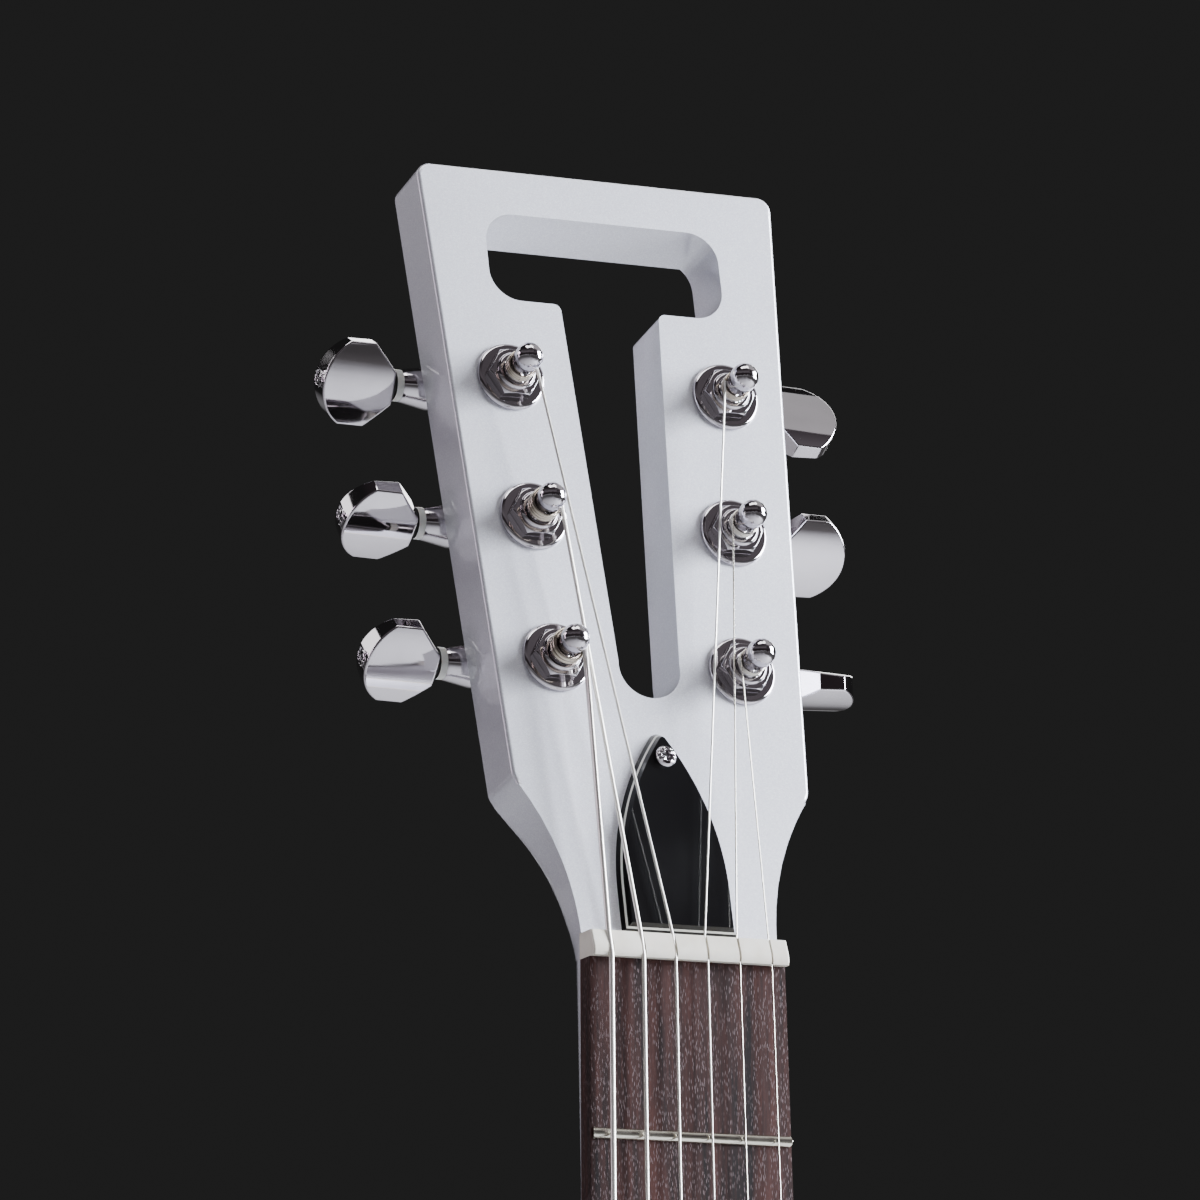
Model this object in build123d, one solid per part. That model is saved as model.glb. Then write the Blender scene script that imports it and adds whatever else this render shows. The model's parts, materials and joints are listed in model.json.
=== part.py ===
"""Resonator guitar: open-window headstock, six sealed tuners, painted neck and a single-cone body.

Millimetres. The drawing frame has its zero on the fretboard's face at the front edge of the nut:
+X is the treble side, -Y is the side that the player sees, +Z runs from the body to the headstock.
save() moves every piece so that the exported origin lies where a wall hanger carries the neck.
"""

from build123d import *
from math import cos, radians, sin, sqrt
import os

# ---- driving dimensions -------------------------------------------------------------------------
SCALE = 635.0  # nut to saddle
NUT_WIDTH = 43.0
BOARD_THICK = 5.0
BOARD_TAPER = 0.0135  # growth of the half width per mm
FRET_COUNT = 20
BODY_FRET = 14
HEAD_ANGLE = 11.75  # tilt of the headstock, degrees
HEAD_DROP = 2.8  # face of the headstock behind the fretboard's face, at the nut
HEAD_THICK = 13.6
HEAD_LENGTH = 177.2
WINDOW_TOP = 166.9  # upper edge of the window, on the face
WINDOW_SLOPE = 1.6  # how much lower the window's upper wall is at the back
HEAD_ROUND = 0.8  # softening of the headstock's edges
FLARE_R = 58.0  # concave flare from the nut to the shoulders
FLARE_V = 4.0  # where it starts
FLARE_TOP = 37.0  # where it ends
BODY_LENGTH = 495.0
BODY_DEPTH = 85.0
TOP_Y = 9.0  # outer face of the soundboard
PLY = 4.0  # soundboard and back
RIM_WALL = 3.0
BINDING = 2.0
COVER_R = 135.0
CONE_R = 120.0
TUNER_RATIO = 14
ORIGIN = Vector(0.0, 12.0, 20.0)  # where a hanger's two prongs carry the neck

# ---- derived dimensions -------------------------------------------------------------------------
HALF_NUT = NUT_WIDTH / 2
TILT = radians(HEAD_ANGLE)


def fret_z(n):
    """Height of fret n, below the nut."""
    return -SCALE * (1 - 2 ** (-n / 12))


def board_half(z):
    """Half the fretboard's width at height z."""
    return HALF_NUT - BOARD_TAPER * z


BODY_Z = fret_z(BODY_FRET)  # neck end of the body
TAIL_Z = BODY_Z - BODY_LENGTH
BACK_Y = TOP_Y + BODY_DEPTH
BOARD_END = fret_z(FRET_COUNT) - 7.0
SADDLE_Z = -SCALE - 2.0
NUT_BACK = 5.3  # the nut's length along the strings
HEAD = Plane(origin=(0, HEAD_DROP, 0), x_dir=(1, 0, 0), z_dir=(0, -cos(TILT), sin(TILT)))

# ---- strings, bass to treble --------------------------------------------------------------------
STRING_DIA = [1.12, 0.86, 0.62, 0.43, 0.36, 0.30]
STRING_PITCH = 7.1  # at the nut
SADDLE_PITCH = 10.4
TAIL_PITCH = 9.0
NUT_FLOOR = -1.5  # the strings' underside at the nut
SADDLE_FLOOR = -5.8  # the strings' underside at the saddle
TAIL_STRING = (1.0, SADDLE_Z - 140.0)  # y and z where the strings end

# ---- tuners -------------------------------------------------------------------------------------
POST_V = [65.5, 97.0, 128.5]  # post heights up the face, lowest first
POST_U = 20.8  # half spacing of the lowest posts
POST_SPREAD = 1.83  # growth of the half spacing per post
SHAFT_V = 5.9  # worm shaft above the post's axis
SHAFT_DEPTH = HEAD_THICK + 6.0
SNOUT_END = 16.6
BUTTON_X = (18.9, 34.4)
BUTTON_WIDTH = 17.9
BUTTON_THICK = 6.9  # at the middle of the crown, halfway out
BUTTON_EDGE = 3.4  # at the long edges
BUTTON_TAPER = 2.6  # each broad face falls this many degrees towards the outer end
BUTTON_ROLL = [55.0, 64.0, 41.0, 100.0, 49.0, -19.0]  # bass lowest to top, then treble lowest to top
SCREW_SEAT_R = 1.75  # head of the screw in the button's outer end
RUNNING = 0.06  # radial clearance of turning pieces

# ---- small hardware -----------------------------------------------------------------------------
SCREW_R = 1.5
HOLE_EASE = 0.05
TAIL_PLATE = 1.6


def save(node, *solids):
    """Write one node's STEP file from its separate solids."""
    os.makedirs("parts", exist_ok=True)
    moved = []
    for item in solids:
        for solid in item.solids():
            moved.append(solid.moved(Location(-ORIGIN)))
    shape = moved[0] if len(moved) == 1 else Compound(children=moved)
    export_step(shape, f"parts/{node}.step")


def cyl(radius, start, end):
    """A cylinder between two points."""
    start, end = Vector(*start), Vector(*end)
    axis = end - start
    return extrude(Plane(origin=start, z_dir=axis) * Circle(radius), axis.length)


def block(low, high):
    """A box between two corners."""
    size = [b - a for a, b in zip(low, high)]
    centre = [(a + b) / 2 for a, b in zip(low, high)]
    return Pos(*centre) * Box(*size)


def turned(points, plane):
    """Revolve a closed polygon of (radius, height) points about the plane's normal."""
    profile = make_face(Polyline([(r, 0, h) for r, h in points], close=True))
    return plane.location * revolve(profile, Axis.Z, 360)


def cross_socket(radius, depth):
    """A cross recess for a screw head, opening at z = 0 and going down."""
    bar = Pos(0, 0, -depth / 2) * Box(radius * 1.1, radius * 0.24, depth)
    return bar + Rot(0, 0, 90) * bar


def pan_screw(plane, head_r, head_h, shank_r, length, twist=0.0):
    """A cross-head screw seated on the plane's origin with its head along the plane's normal."""
    dome = [(0, -length), (shank_r * 0.3, -length), (shank_r, -length + shank_r), (shank_r, 0)]
    dome += [(head_r, 0), (head_r, head_h * 0.4), (head_r * 0.8, head_h * 0.85), (0, head_h)]
    screw = turned(dome, Plane.XY)
    screw -= Pos(0, 0, head_h) * cross_socket(head_r, head_h * 0.75)
    return plane.location * Rot(0, 0, twist) * screw


def arc_fan(count, first=0.0):
    """Evenly spaced angles in degrees."""
    return [first + 360.0 * i / count for i in range(count)]


# ---- headstock and neck -------------------------------------------------------------------------
def head_outline():
    """The headstock's outline above its flare, on the face's own plane: u across, v up from the nut."""
    shoulder, corner_u = (33.1, 39.0), 40.9
    start = (flare_half(FLARE_TOP), FLARE_TOP)
    right = [start, shoulder, (corner_u, HEAD_LENGTH)]
    left = [(-u, v) for u, v in reversed(right)]
    face = make_face(Polyline(right + left, close=True))
    tops = face.vertices().filter_by(lambda p: p.Y > HEAD_LENGTH - 1)
    face = fillet(tops, 3.0)
    return fillet(face.vertices().filter_by(lambda p: abs(p.Y - shoulder[1]) < 0.5), 3.5)


def head_window():
    """The window through the headstock: a wide bar with rounded ends and a tapering stem."""
    bar_half, bar_low, bar_r = 26.7, 146.7, 6.8
    stem_top, stem_low, stem_r, stem_v = 11.25, 6.8, 6.9, 65.0
    bar = Pos(0, (bar_low + WINDOW_TOP) / 2) * RectangleRounded(2 * bar_half, WINDOW_TOP - bar_low, bar_r)
    right = [(stem_low, stem_v), (stem_top, bar_low + 0.01)]
    stem = make_face(Polyline(right + [(-u, v) for u, v in reversed(right)], close=True))
    tip = Pos(0, stem_v) * Circle(stem_r)
    face = bar + stem + tip
    inner = face.vertices().filter_by(lambda v: abs(v.Y - bar_low) < 0.1 and abs(abs(v.X) - stem_top) < 0.3)
    return fillet(inner, 1.6)


def window_slope():
    """The wedge that lowers the window's upper wall towards the back."""
    front, back, high = 0.0, -HEAD_THICK, WINDOW_TOP + 0.4
    side = [(high, front), (WINDOW_TOP, front), (WINDOW_TOP - WINDOW_SLOPE, back), (high, back)]
    section = make_face(Polyline([(0, v, n) for v, n in side], close=True))
    wedge = extrude(section, 40, both=True, dir=(1, 0, 0))
    return HEAD.location * (wedge & (Pos(0, 0, back) * extrude(head_window(), HEAD_THICK)))


def neck_section(plane, half, top, depth, corner, lean=0.0):
    """A section of the neck: flat front, sides that lean inwards, and a back rounded by two corner curves."""
    rx, ry = corner
    low, side, k = top + depth, top + depth - ry, 0.5523
    right = [(half, side), (half - lean * k * ry, side + k * ry), (half - rx + k * rx, low), (half - rx, low)]
    left = [(-x, y) for x, y in right]
    edges = [Line((-half, top), (half, top)), Line((half, top), right[0]), Bezier(*right)]
    edges += [Line(right[3], left[3]), Bezier(*reversed(left)), Line(left[0], (-half, top))]
    return plane * make_face(edges)


def flat_plane(z):
    """A level plane whose second axis points to the back."""
    return Plane(origin=(0, 0, z), x_dir=(1, 0, 0), z_dir=(0, 0, 1))


def tilted_plane(v):
    """A plane across the headstock at height v on its face; its second axis points to the back."""
    up = HEAD.y_dir
    return Plane(origin=HEAD.from_local_coords((0, v, 0)), x_dir=(1, 0, 0), z_dir=up)


def flare_half(v):
    """Half width of the headstock's flare at height v."""
    return HALF_NUT + 0.2 + FLARE_R - sqrt(FLARE_R**2 - (v - FLARE_V) ** 2)


def neck_at_nut():
    """The neck's section under the nut."""
    return neck_section(flat_plane(0.0), HALF_NUT, BOARD_THICK, 15.5, (19.0, 14.6), 0.2)


def head_root():
    """The blend from the neck's round back to the headstock's square edges."""
    sections = [neck_at_nut()]
    steps = [
        (10.0, 15.3, (15.5, 11.5)),
        (18.0, 14.2, (9.5, 8.5)),
        (26.0, HEAD_THICK, (5.0, 5.5)),
        (32.0, HEAD_THICK, (2.2, 2.6)),
        (FLARE_TOP, HEAD_THICK, (HEAD_ROUND, HEAD_ROUND)),
    ]
    for v, depth, corner in steps:
        sections.append(neck_section(tilted_plane(v), flare_half(v), -1.0, depth + 1.0, corner))
    return loft(sections)


def make_neck(holes):
    """Neck, heel, tongue and headstock as one piece of painted wood."""
    heel_z = -288.0
    slim_z, lean = -45.0, 0.5
    slim = neck_section(flat_plane(slim_z), board_half(slim_z), BOARD_THICK, 15.8, (20.0, 15.7), lean)
    start = neck_section(flat_plane(heel_z), board_half(heel_z), BOARD_THICK, 18.5, (22.5, 18.0), lean)
    shaft = loft([neck_at_nut(), slim], ruled=True) + loft([slim, start], ruled=True)
    heel_steps = [(-312.0, 22.0, (22.5, 17.5)), (-330.0, 36.0, (22.0, 24.0)), (BODY_Z, 66.0, (18.0, 38.0))]
    heel_sections = [start]
    for z, depth, corner in heel_steps:
        heel_sections.append(neck_section(flat_plane(z), board_half(z), BOARD_THICK, depth, corner))
    heel = loft(heel_sections)
    slab = extrude(HEAD * head_outline(), -HEAD_THICK)
    edges = slab.edges().filter_by(lambda e: HEAD.to_local_coords(e @ 0.5).Y > FLARE_TOP + 0.1)
    slab = fillet(edges.filter_by(lambda e: abs((e.tangent_at(0.5)).dot(HEAD.z_dir)) < 0.5), HEAD_ROUND)
    slab -= extrude(HEAD * head_window(), HEAD_THICK * 2, both=True)
    slab += window_slope()
    tongue_half = board_half(BODY_Z)
    tongue = block((-tongue_half, BOARD_THICK, BOARD_END), (tongue_half, TOP_Y, BODY_Z + 1))
    neck = shaft + heel + head_root() + slab + tongue
    neck -= extrude(HEAD * Pos(0, 30) * Rectangle(120, 60), 20) & block((-60, -30, 0), (60, 30, 80))
    neck -= block((-40, -20, -0.5), (40, BOARD_THICK, NUT_BACK))
    for hole in holes:
        neck -= hole
    return neck


def truss_parts():
    """The rod, its adjusting nut and the channel cut for them."""
    rod_y, rod_r, nut_r = BOARD_THICK + 7.6, 2.8, 4.0
    nut_low, nut_high = 8.5, 21.0
    rod = cyl(rod_r, (0, rod_y, -330), (0, rod_y, nut_low - 0.6))
    rod += cyl(1.6, (0, rod_y, nut_low - 0.6), (0, rod_y, nut_high - 5.0))
    nut = cyl(nut_r, (0, rod_y, nut_low), (0, rod_y, nut_high))
    nut -= cyl(1.6 + RUNNING, (0, rod_y, nut_low - 1), (0, rod_y, nut_high - 4.0))
    socket = extrude(Plane(origin=(0, rod_y, nut_high - 4.2)) * RegularPolygon(2.3, 6), 5)
    nut -= socket
    channel = block((-3.2, -1, -332), (3.2, rod_y + 3.2, nut_low - 0.3))
    pocket = cyl(nut_r + 0.5, (0, rod_y, nut_low - 0.4), (0, rod_y, 37.0))
    pocket += block((-nut_r - 0.5, -9, nut_low - 0.4), (nut_r + 0.5, rod_y, 37.0))
    return rod, nut, channel + pocket


def make_board(dot_holes):
    """Rosewood fretboard with its inlay pockets and fret slots."""
    low, high = BOARD_END, 0.0
    plan = [(-board_half(low), low), (board_half(low), low), (HALF_NUT, high), (-HALF_NUT, high)]
    face = make_face(Polyline([(x, BOARD_THICK, z) for x, z in plan], close=True))
    board = extrude(face, amount=BOARD_THICK, dir=(0, -1, 0))
    for n in range(1, FRET_COUNT + 1):
        z, slot_half = fret_z(n), board_half(fret_z(n)) - 0.9
        board -= block((-slot_half, -1, z - 0.3), (slot_half, 1.6, z + 0.3))
    for hole in dot_holes:
        board -= hole
    return board


def fret_wires():
    """Fret wires: a domed crown with bevelled ends, on a tang in the board's slot."""
    wires = []
    for n in range(1, FRET_COUNT + 1):
        z, half = fret_z(n), board_half(fret_z(n))
        crown = make_face(
            [
                ThreePointArc((0, -0.02, z - 1.2), (0, -1.05, z), (0, -0.02, z + 1.2)),
                Line((0, -0.02, z + 1.2), (0, -0.02, z - 1.2)),
            ]
        )
        wire = extrude(crown, half, both=True, dir=(1, 0, 0))
        for side in (-1, 1):
            tip = Pos(side * half, -1.0, z) * Rot(0, 0, side * 35) * Box(1.5, 3.0, 4.0)
            wire -= Pos(side * 0.75, 0, 0) * tip
        wires.append(wire + block((-half + 1, -0.3, z - 0.25), (half - 1, 1.5, z + 0.25)))
    return wires


def dot_layout():
    """Centres of the face dots and the side dots, as (x, z) and z."""
    face = [(0, (fret_z(n) + fret_z(n - 1)) / 2) for n in (3, 5, 7, 9, 15, 17, 19)]
    twelfth = (fret_z(12) + fret_z(11)) / 2
    face += [(-11.5, twelfth), (11.5, twelfth)]
    side = [z for _, z in face[:-2]] + [twelfth - 4.0, twelfth + 4.0]
    return face, side


def make_dots():
    """Pearl face dots, white side dots and the pockets for both."""
    face, side = dot_layout()
    face_dots = [cyl(3.0, (x, 0.0, z), (x, 1.5, z)) for x, z in face]
    side_dots, pockets = [], [cyl(3.0 + HOLE_EASE, (x, -1, z), (x, 1.6, z)) for x, z in face]
    for z in side:
        x = -board_half(z)
        side_dots.append(cyl(1.0, (x + 0.02, 2.6, z), (x + 2.0, 2.6, z)))
        pockets.append(cyl(1.0 + HOLE_EASE, (x - 1, 2.6, z), (x + 2.1, 2.6, z)))
    return face_dots, side_dots, pockets


def string_x(i, pitch):
    """Offset of string i, counted from the bass side."""
    return (i - 2.5) * pitch


def nut_points(i):
    """String i's centre at the nut's back and front edges."""
    r, x = STRING_DIA[i] / 2, string_x(i, STRING_PITCH)
    back = Vector(x, NUT_FLOOR + 1.3 - r, NUT_BACK - 0.2)
    return back, Vector(x, NUT_FLOOR - r, 0.4)


def make_nut():
    """White nut: square to the board, falling towards the headstock, slotted for the strings."""
    profile = [(BOARD_THICK, 0.0), (-1.9, 0.0), (-2.2, 0.8), (-2.0, 2.2), (-0.7, NUT_BACK)]
    profile.append((BOARD_THICK, NUT_BACK))
    half = HALF_NUT + 0.1
    face = make_face(Polyline([(-half, y, z) for y, z in profile], close=True))
    nut = extrude(face, amount=2 * half, dir=(1, 0, 0))
    ends = nut.edges().filter_by(lambda e: abs(abs((e @ 0.5).X) - half) < 0.01 and (e @ 0.5).Y < 0)
    nut = fillet(ends, 0.45)
    for i, dia in enumerate(STRING_DIA):
        back, front = nut_points(i)
        run = (front - back).normalized()
        a, b = back - run * 3, front + run * 3
        slot = cyl(dia / 2 + 0.06, a, b)
        roof = Plane(origin=a, z_dir=run, x_dir=(1, 0, 0))
        nut -= slot
        lid = extrude(roof * Pos(0, 2.0) * Rectangle(dia + 0.12, 4.0), (b - a).length)
        lid_down = extrude(roof * Pos(0, -2.0) * Rectangle(dia + 0.12, 4.0), (b - a).length)
        nut -= lid if lid.center().Y < lid_down.center().Y else lid_down
    return nut


def rod_cover():
    """Bevelled arch-shaped plate over the truss rod nut, with its screw."""
    half, base, straight, tip, thick, bevel = 12.7, 5.9, 15.0, 51.5, 2.4, 32.0
    rise = tip - straight
    radius = (rise**2 + half**2) / (2 * half)
    mid_v = rise * 0.5
    mid = (half - (radius - sqrt(radius**2 - mid_v**2)), straight + mid_v)
    right = [Line((half, base), (half, straight)), ThreePointArc((half, straight), mid, (0, tip))]
    left = [mirror(edge, about=Plane.YZ) for edge in right]
    face = make_face(right + left + [Line((-half, base), (half, base))])
    point = face.vertices().sort_by(Axis.Y)[-1]
    face = fillet(point, 2.2)
    plate = extrude(face, thick, taper=bevel)
    seat = (0.0, 44.0)
    plate -= Pos(*seat, 0) * Cylinder(SCREW_R + 0.1, 10)
    plate = HEAD.location * Pos(0, 0, 0.02) * plate
    frame = Plane(HEAD.from_local_coords((*seat, thick + 0.02)), x_dir=(1, 0, 0), z_dir=HEAD.z_dir)
    screw = pan_screw(frame, 2.25, 1.5, SCREW_R, 12.0)
    hole = cyl(SCREW_R + HOLE_EASE, HEAD.from_local_coords((*seat, 1)), HEAD.from_local_coords((*seat, -11)))
    return plate, screw, hole


# ---- tuners -------------------------------------------------------------------------------------
def tuner_places():
    """(number, u, v, side, roll) of each tuner; 1 to 3 are the bass side, lowest first."""
    places = []
    for side in (-1, 1):
        for k, v in enumerate(POST_V):
            number = k + 1 if side < 0 else k + 4
            places.append((number, side * (POST_U + POST_SPREAD * k), v, side, BUTTON_ROLL[number - 1]))
    return places


def seat(shape, u, v, side):
    """Put a tuner piece drawn for the treble side at a post: x outward, y up the face, z to the front."""
    if side < 0:
        shape = mirror(shape, about=Plane.YZ)
    return HEAD.location * Pos(u, v, 0) * shape


def tuner_housing():
    """Sealed die-cast case behind the headstock, with its shaft snout and screw ear."""
    back = -HEAD_THICK
    depth, radius, round_r = 10.6, 8.6, 2.4
    drum = [(0, 0), (radius, 0)]
    for a in range(0, 91, 15):
        drum.append((radius - round_r * (1 - cos(radians(a))), depth - round_r * (1 - sin(radians(a)))))
    drum += [(0, depth)]
    case = turned(drum, Plane(origin=(0, 1.2, back), z_dir=(0, 0, -1), x_dir=(1, 0, 0)))
    axis = Plane(origin=(0, SHAFT_V, -SHAFT_DEPTH), z_dir=(1, 0, 0), x_dir=(0, 1, 0))
    barrel = [(0, -8.2), (2.6, -8.2), (4.2, -6.6), (4.6, 10.5), (4.3, 12.0), (3.9, 14.0)]
    barrel += [(3.4, SNOUT_END), (0, SNOUT_END)]
    case += turned(barrel, axis)
    ear = extrude(Plane(origin=(-4.0, -9.6, back)) * Circle(3.2), -2.2)
    ear += block((-7.2, -9.6, back - 2.2), (-0.8, -3.0, back))
    case += ear
    case -= Pos(-4.0, -9.6, back - 1) * Cylinder(SCREW_R, 6)
    case -= Pos(0, 0, -SHAFT_DEPTH + 0.6) * Cylinder(4.4, 7.4)
    case -= Pos(0, 0, back) * Cylinder(3.05 + RUNNING, 6)
    case -= Pos(0.2, SHAFT_V, -SHAFT_DEPTH) * Rot(0, 90, 0) * Cylinder(2.9, 10.4)
    case -= Pos(10, SHAFT_V, -SHAFT_DEPTH) * Rot(0, 90, 0) * Cylinder(1.9 + RUNNING, 24)
    return case


def tuner_bushing():
    """Hexagonal bushing screwed in from the front."""
    barrel = Pos(0, 0, -HEAD_THICK / 2 + 1.2) * Cylinder(4.8, HEAD_THICK - 1.4)
    hexagon = extrude(Plane(origin=(0, 0, 1.2)) * RegularPolygon(5.0, 6, major_radius=False), 2.0)
    crown = turned([(0, 1.2), (5.9, 1.2), (5.9, 2.5), (5.1, 3.2), (0, 3.2)], Plane.XY)
    hexagon = hexagon & crown
    collar = turned([(0, 3.0), (4.2, 3.0), (4.2, 3.5), (3.8, 3.9), (0, 3.9)], Plane.XY)
    return barrel + hexagon + collar - Cylinder(3.05 + RUNNING, 60)


def tuner_washer():
    """Domed washer under the bushing's hexagon."""
    ring = [(4.9, 0.0), (7.45, 0.0), (7.55, 0.4), (7.3, 0.95), (6.9, 1.2), (4.9, 1.2)]
    return turned(ring, Plane.XY)


def tuner_post():
    """String post: shank, waist with a cross hole, and a domed cap."""
    shank, waist, cap, foot = 3.05, WAIST_R, 2.95, -SHAFT_DEPTH - 2.6
    dome = [(cap * cos(radians(a)), 10.25 + cap * 0.98 * sin(radians(a))) for a in range(0, 90, 10)]
    outline = [(0, foot), (2.4, foot), (2.4, -HEAD_THICK - 3.0), (shank, -HEAD_THICK - 2.8), (shank, 4.2)]
    outline += [(waist, 4.5), (waist, 8.3), (cap - 0.25, 8.7), (cap, 9.0)] + dome + [(0, 13.15)]
    post = turned(outline, Plane.XY)
    return post - Pos(0, 0, 7.6) * Rot(90, 0, 0) * Cylinder(0.75, 12)


def worm_wheel():
    """Toothed wheel on the post's foot, with a flared rim."""
    teeth, tip_r, root_r = TUNER_RATIO, 3.55, 2.95
    wheel = Pos(0, 0, -SHAFT_DEPTH) * Cylinder(root_r, 3.6)
    for a in arc_fan(teeth):
        tooth = Pos((tip_r + root_r) / 2 - 0.15, 0, -SHAFT_DEPTH) * Box(tip_r - root_r + 0.3, 0.55, 2.4)
        wheel += Rot(0, 0, a) * tooth
    return wheel - Pos(0, 0, -SHAFT_DEPTH) * Cylinder(2.4, 8)


def worm_shaft(roll):
    """Shaft with its worm, and the cross-head screw that holds the button."""
    thread = [(0, -4.6), (1.6, -4.6)]
    for k in range(8):
        start = -4.0 + k
        thread += [(1.6, start), (2.15, start + 0.3), (2.15, start + 0.6), (1.6, start + 0.9)]
    thread += [(1.9, 4.4), (1.9, SNOUT_END + 3.4), (0, SNOUT_END + 3.4)]
    axis = Plane(origin=(0, SHAFT_V, -SHAFT_DEPTH), z_dir=(1, 0, 0), x_dir=(0, 1, 0))
    shaft = turned(thread, axis)
    face = Plane(origin=(BUTTON_X[1] - 0.45, SHAFT_V, -SHAFT_DEPTH), z_dir=(1, 0, 0), x_dir=(0, 1, 0))
    screw = pan_screw(face, SCREW_SEAT_R, 0.55, 1.0, 8.0, twist=roll)
    return shaft, screw


def button_outline():
    """The button's outline: a narrow hub end, slanted shoulders, straight edges and a rounded outer end."""
    start, end = BUTTON_X
    half, hub_half = BUTTON_WIDTH / 2, 3.5
    edge_in, edge_out = start + 4.8, start + 10.4
    right = [(start, hub_half), (edge_in, half), (edge_out, half)]
    left = [(x, -y) for x, y in right]
    edges = [Line(left[0], right[0]), ThreePointArc(right[2], (end, 0), left[2])]
    for side in (right, left):
        edges += [Line(side[0], side[1]), Line(side[1], side[2])]
    return make_face(edges)


def tuner_button(roll):
    """Faceted button: two crowned broad faces that draw together outwards, with softened edges."""
    start, end = BUTTON_X
    half, rise = BUTTON_WIDTH / 2, (BUTTON_THICK - BUTTON_EDGE) / 2
    crown_r = (half**2 + rise**2) / (2 * rise)
    plate = extrude(button_outline(), BUTTON_THICK, both=True)
    for side in (-1, 1):
        centre = Pos((start + end) / 2, 0, side * (BUTTON_THICK / 2 - crown_r))
        plate &= centre * Rot(0, 90 + side * BUTTON_TAPER, 0) * Cylinder(crown_r, 4 * BUTTON_WIDTH)
    plate = fillet(plate.edges(), 0.5)
    plate -= Pos(end, 0, 0) * Rot(0, 90, 0) * Cylinder(SCREW_SEAT_R + 0.1, 1.1)
    plate -= Pos(end - 4, 0, 0) * Rot(0, 90, 0) * Cylinder(1.05, 11)
    plate -= Pos(start, 0, 0) * Rot(0, 90, 0) * Cylinder(1.9 + HOLE_EASE, 3)
    return Pos(0, SHAFT_V, -SHAFT_DEPTH) * Rot(roll, 0, 0) * plate


def button_washer():
    """Nylon washer and its thin spring ring between snout and button."""
    ring = [(1.9 + RUNNING, SNOUT_END), (3.35, SNOUT_END), (3.35, SNOUT_END + 1.5), (2.9, SNOUT_END + 1.5)]
    ring += [(2.9, BUTTON_X[0] - 0.05), (1.9 + RUNNING, BUTTON_X[0] - 0.05)]
    axis = Plane(origin=(0, SHAFT_V, -SHAFT_DEPTH), z_dir=(1, 0, 0), x_dir=(0, 1, 0))
    return turned(ring, axis)


def ear_screw():
    """Short wood screw through the housing's ear, driven from behind."""
    frame = Plane(origin=(-4.0, -9.6, -HEAD_THICK - 2.2), z_dir=(0, 0, -1), x_dir=(1, 0, 0))
    return pan_screw(frame, 2.2, 1.4, SCREW_R - 0.2, 9.0)


def make_tuners():
    """Every tuner piece, with the holes that the headstock needs."""
    group = {name: [] for name in ("housing", "bushing", "washer", "ear_screw", "button_washer", "hole")}
    for number, u, v, side, roll in tuner_places():
        shaft, screw = worm_shaft(roll)
        save(f"tuner_{number}_button", seat(tuner_button(roll), u, v, side))
        save(f"tuner_{number}_worm_shaft", seat(shaft, u, v, side), seat(screw, u, v, side))
        save(f"tuner_{number}_post", seat(tuner_post(), u, v, side), seat(worm_wheel(), u, v, side))
        group["housing"].append(seat(tuner_housing(), u, v, side))
        group["bushing"].append(seat(tuner_bushing(), u, v, side))
        group["washer"].append(seat(tuner_washer(), u, v, side))
        group["ear_screw"].append(seat(ear_screw(), u, v, side))
        group["button_washer"].append(seat(button_washer(), u, v, side))
        group["hole"].append(seat(Cylinder(4.8 + HOLE_EASE, 60), u, v, side))
        group["hole"].append(seat(Pos(-4.0, -9.6, -HEAD_THICK) * Cylinder(SCREW_R, 14), u, v, side))
    return group


# ---- strings ------------------------------------------------------------------------------------
STRING_TUNER = [1, 2, 3, 6, 5, 4]  # which post each string winds on
WIND_FLOOR = 4.6  # height of the lowest turn's underside above the face
WAIST_R = 2.6
TURNS = [2, 3, 3, 4, 4, 4]


def wind_radius(i):
    """Radius of string i's centre line on its post."""
    return WAIST_R + STRING_DIA[i] / 2 + 0.02


def windings():
    """Turns of string around each post, one list of rings per tuner number."""
    places = {number: (u, v, side) for number, u, v, side, _ in tuner_places()}
    wound = {}
    for i, dia in enumerate(STRING_DIA):
        u, v, side = places[STRING_TUNER[i]]
        rings = []
        for turn in range(TURNS[i]):
            height = WIND_FLOOR + dia * (turn + 0.5)
            rings.append(seat(Pos(0, 0, height) * Torus(wind_radius(i), dia * 0.49), u, v, side))
        wound[STRING_TUNER[i]] = rings
    return wound


def post_end(i):
    """Where string i meets its winding, on the side of the post that faces the middle."""
    places = {number: (u, v) for number, u, v, _, _ in tuner_places()}
    u, v = places[STRING_TUNER[i]]
    back, _ = nut_points(i)
    start = HEAD.to_local_coords(back)
    du, dv = u - start.X, v - start.Y
    reach, radius = sqrt(du**2 + dv**2), wind_radius(i)
    toward = 1 if u < 0 else -1
    nx, ny = toward * dv / reach, -toward * du / reach
    height = WIND_FLOOR + STRING_DIA[i] * (TURNS[i] + 0.5) + 0.08
    return HEAD.from_local_coords((u + nx * radius, v + ny * radius, height))


def make_strings():
    """Six strings: from the posts over the nut and the saddle to the tailpiece."""
    strings = []
    for i, dia in enumerate(STRING_DIA):
        back, front = nut_points(i)
        saddle = Vector(string_x(i, SADDLE_PITCH), SADDLE_FLOOR - dia / 2, SADDLE_Z)
        tail = Vector(string_x(i, TAIL_PITCH), TAIL_STRING[0], TAIL_STRING[1])
        path = [post_end(i), back, front, saddle, tail]
        string = None
        for a, b in zip(path, path[1:]):
            run = cyl(dia / 2, a, b)
            string = run if string is None else string + run
        for knee in path[1:-1]:
            string += Pos(*knee) * Sphere(dia / 2)
        strings.append(string)
    return strings


# ---- body ---------------------------------------------------------------------------------------
def face_plane(y):
    """A plane seen from the front at depth y: u to the treble side, v up."""
    return Plane(origin=(0, y, 0), x_dir=(1, 0, 0), z_dir=(0, -1, 0))


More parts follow.
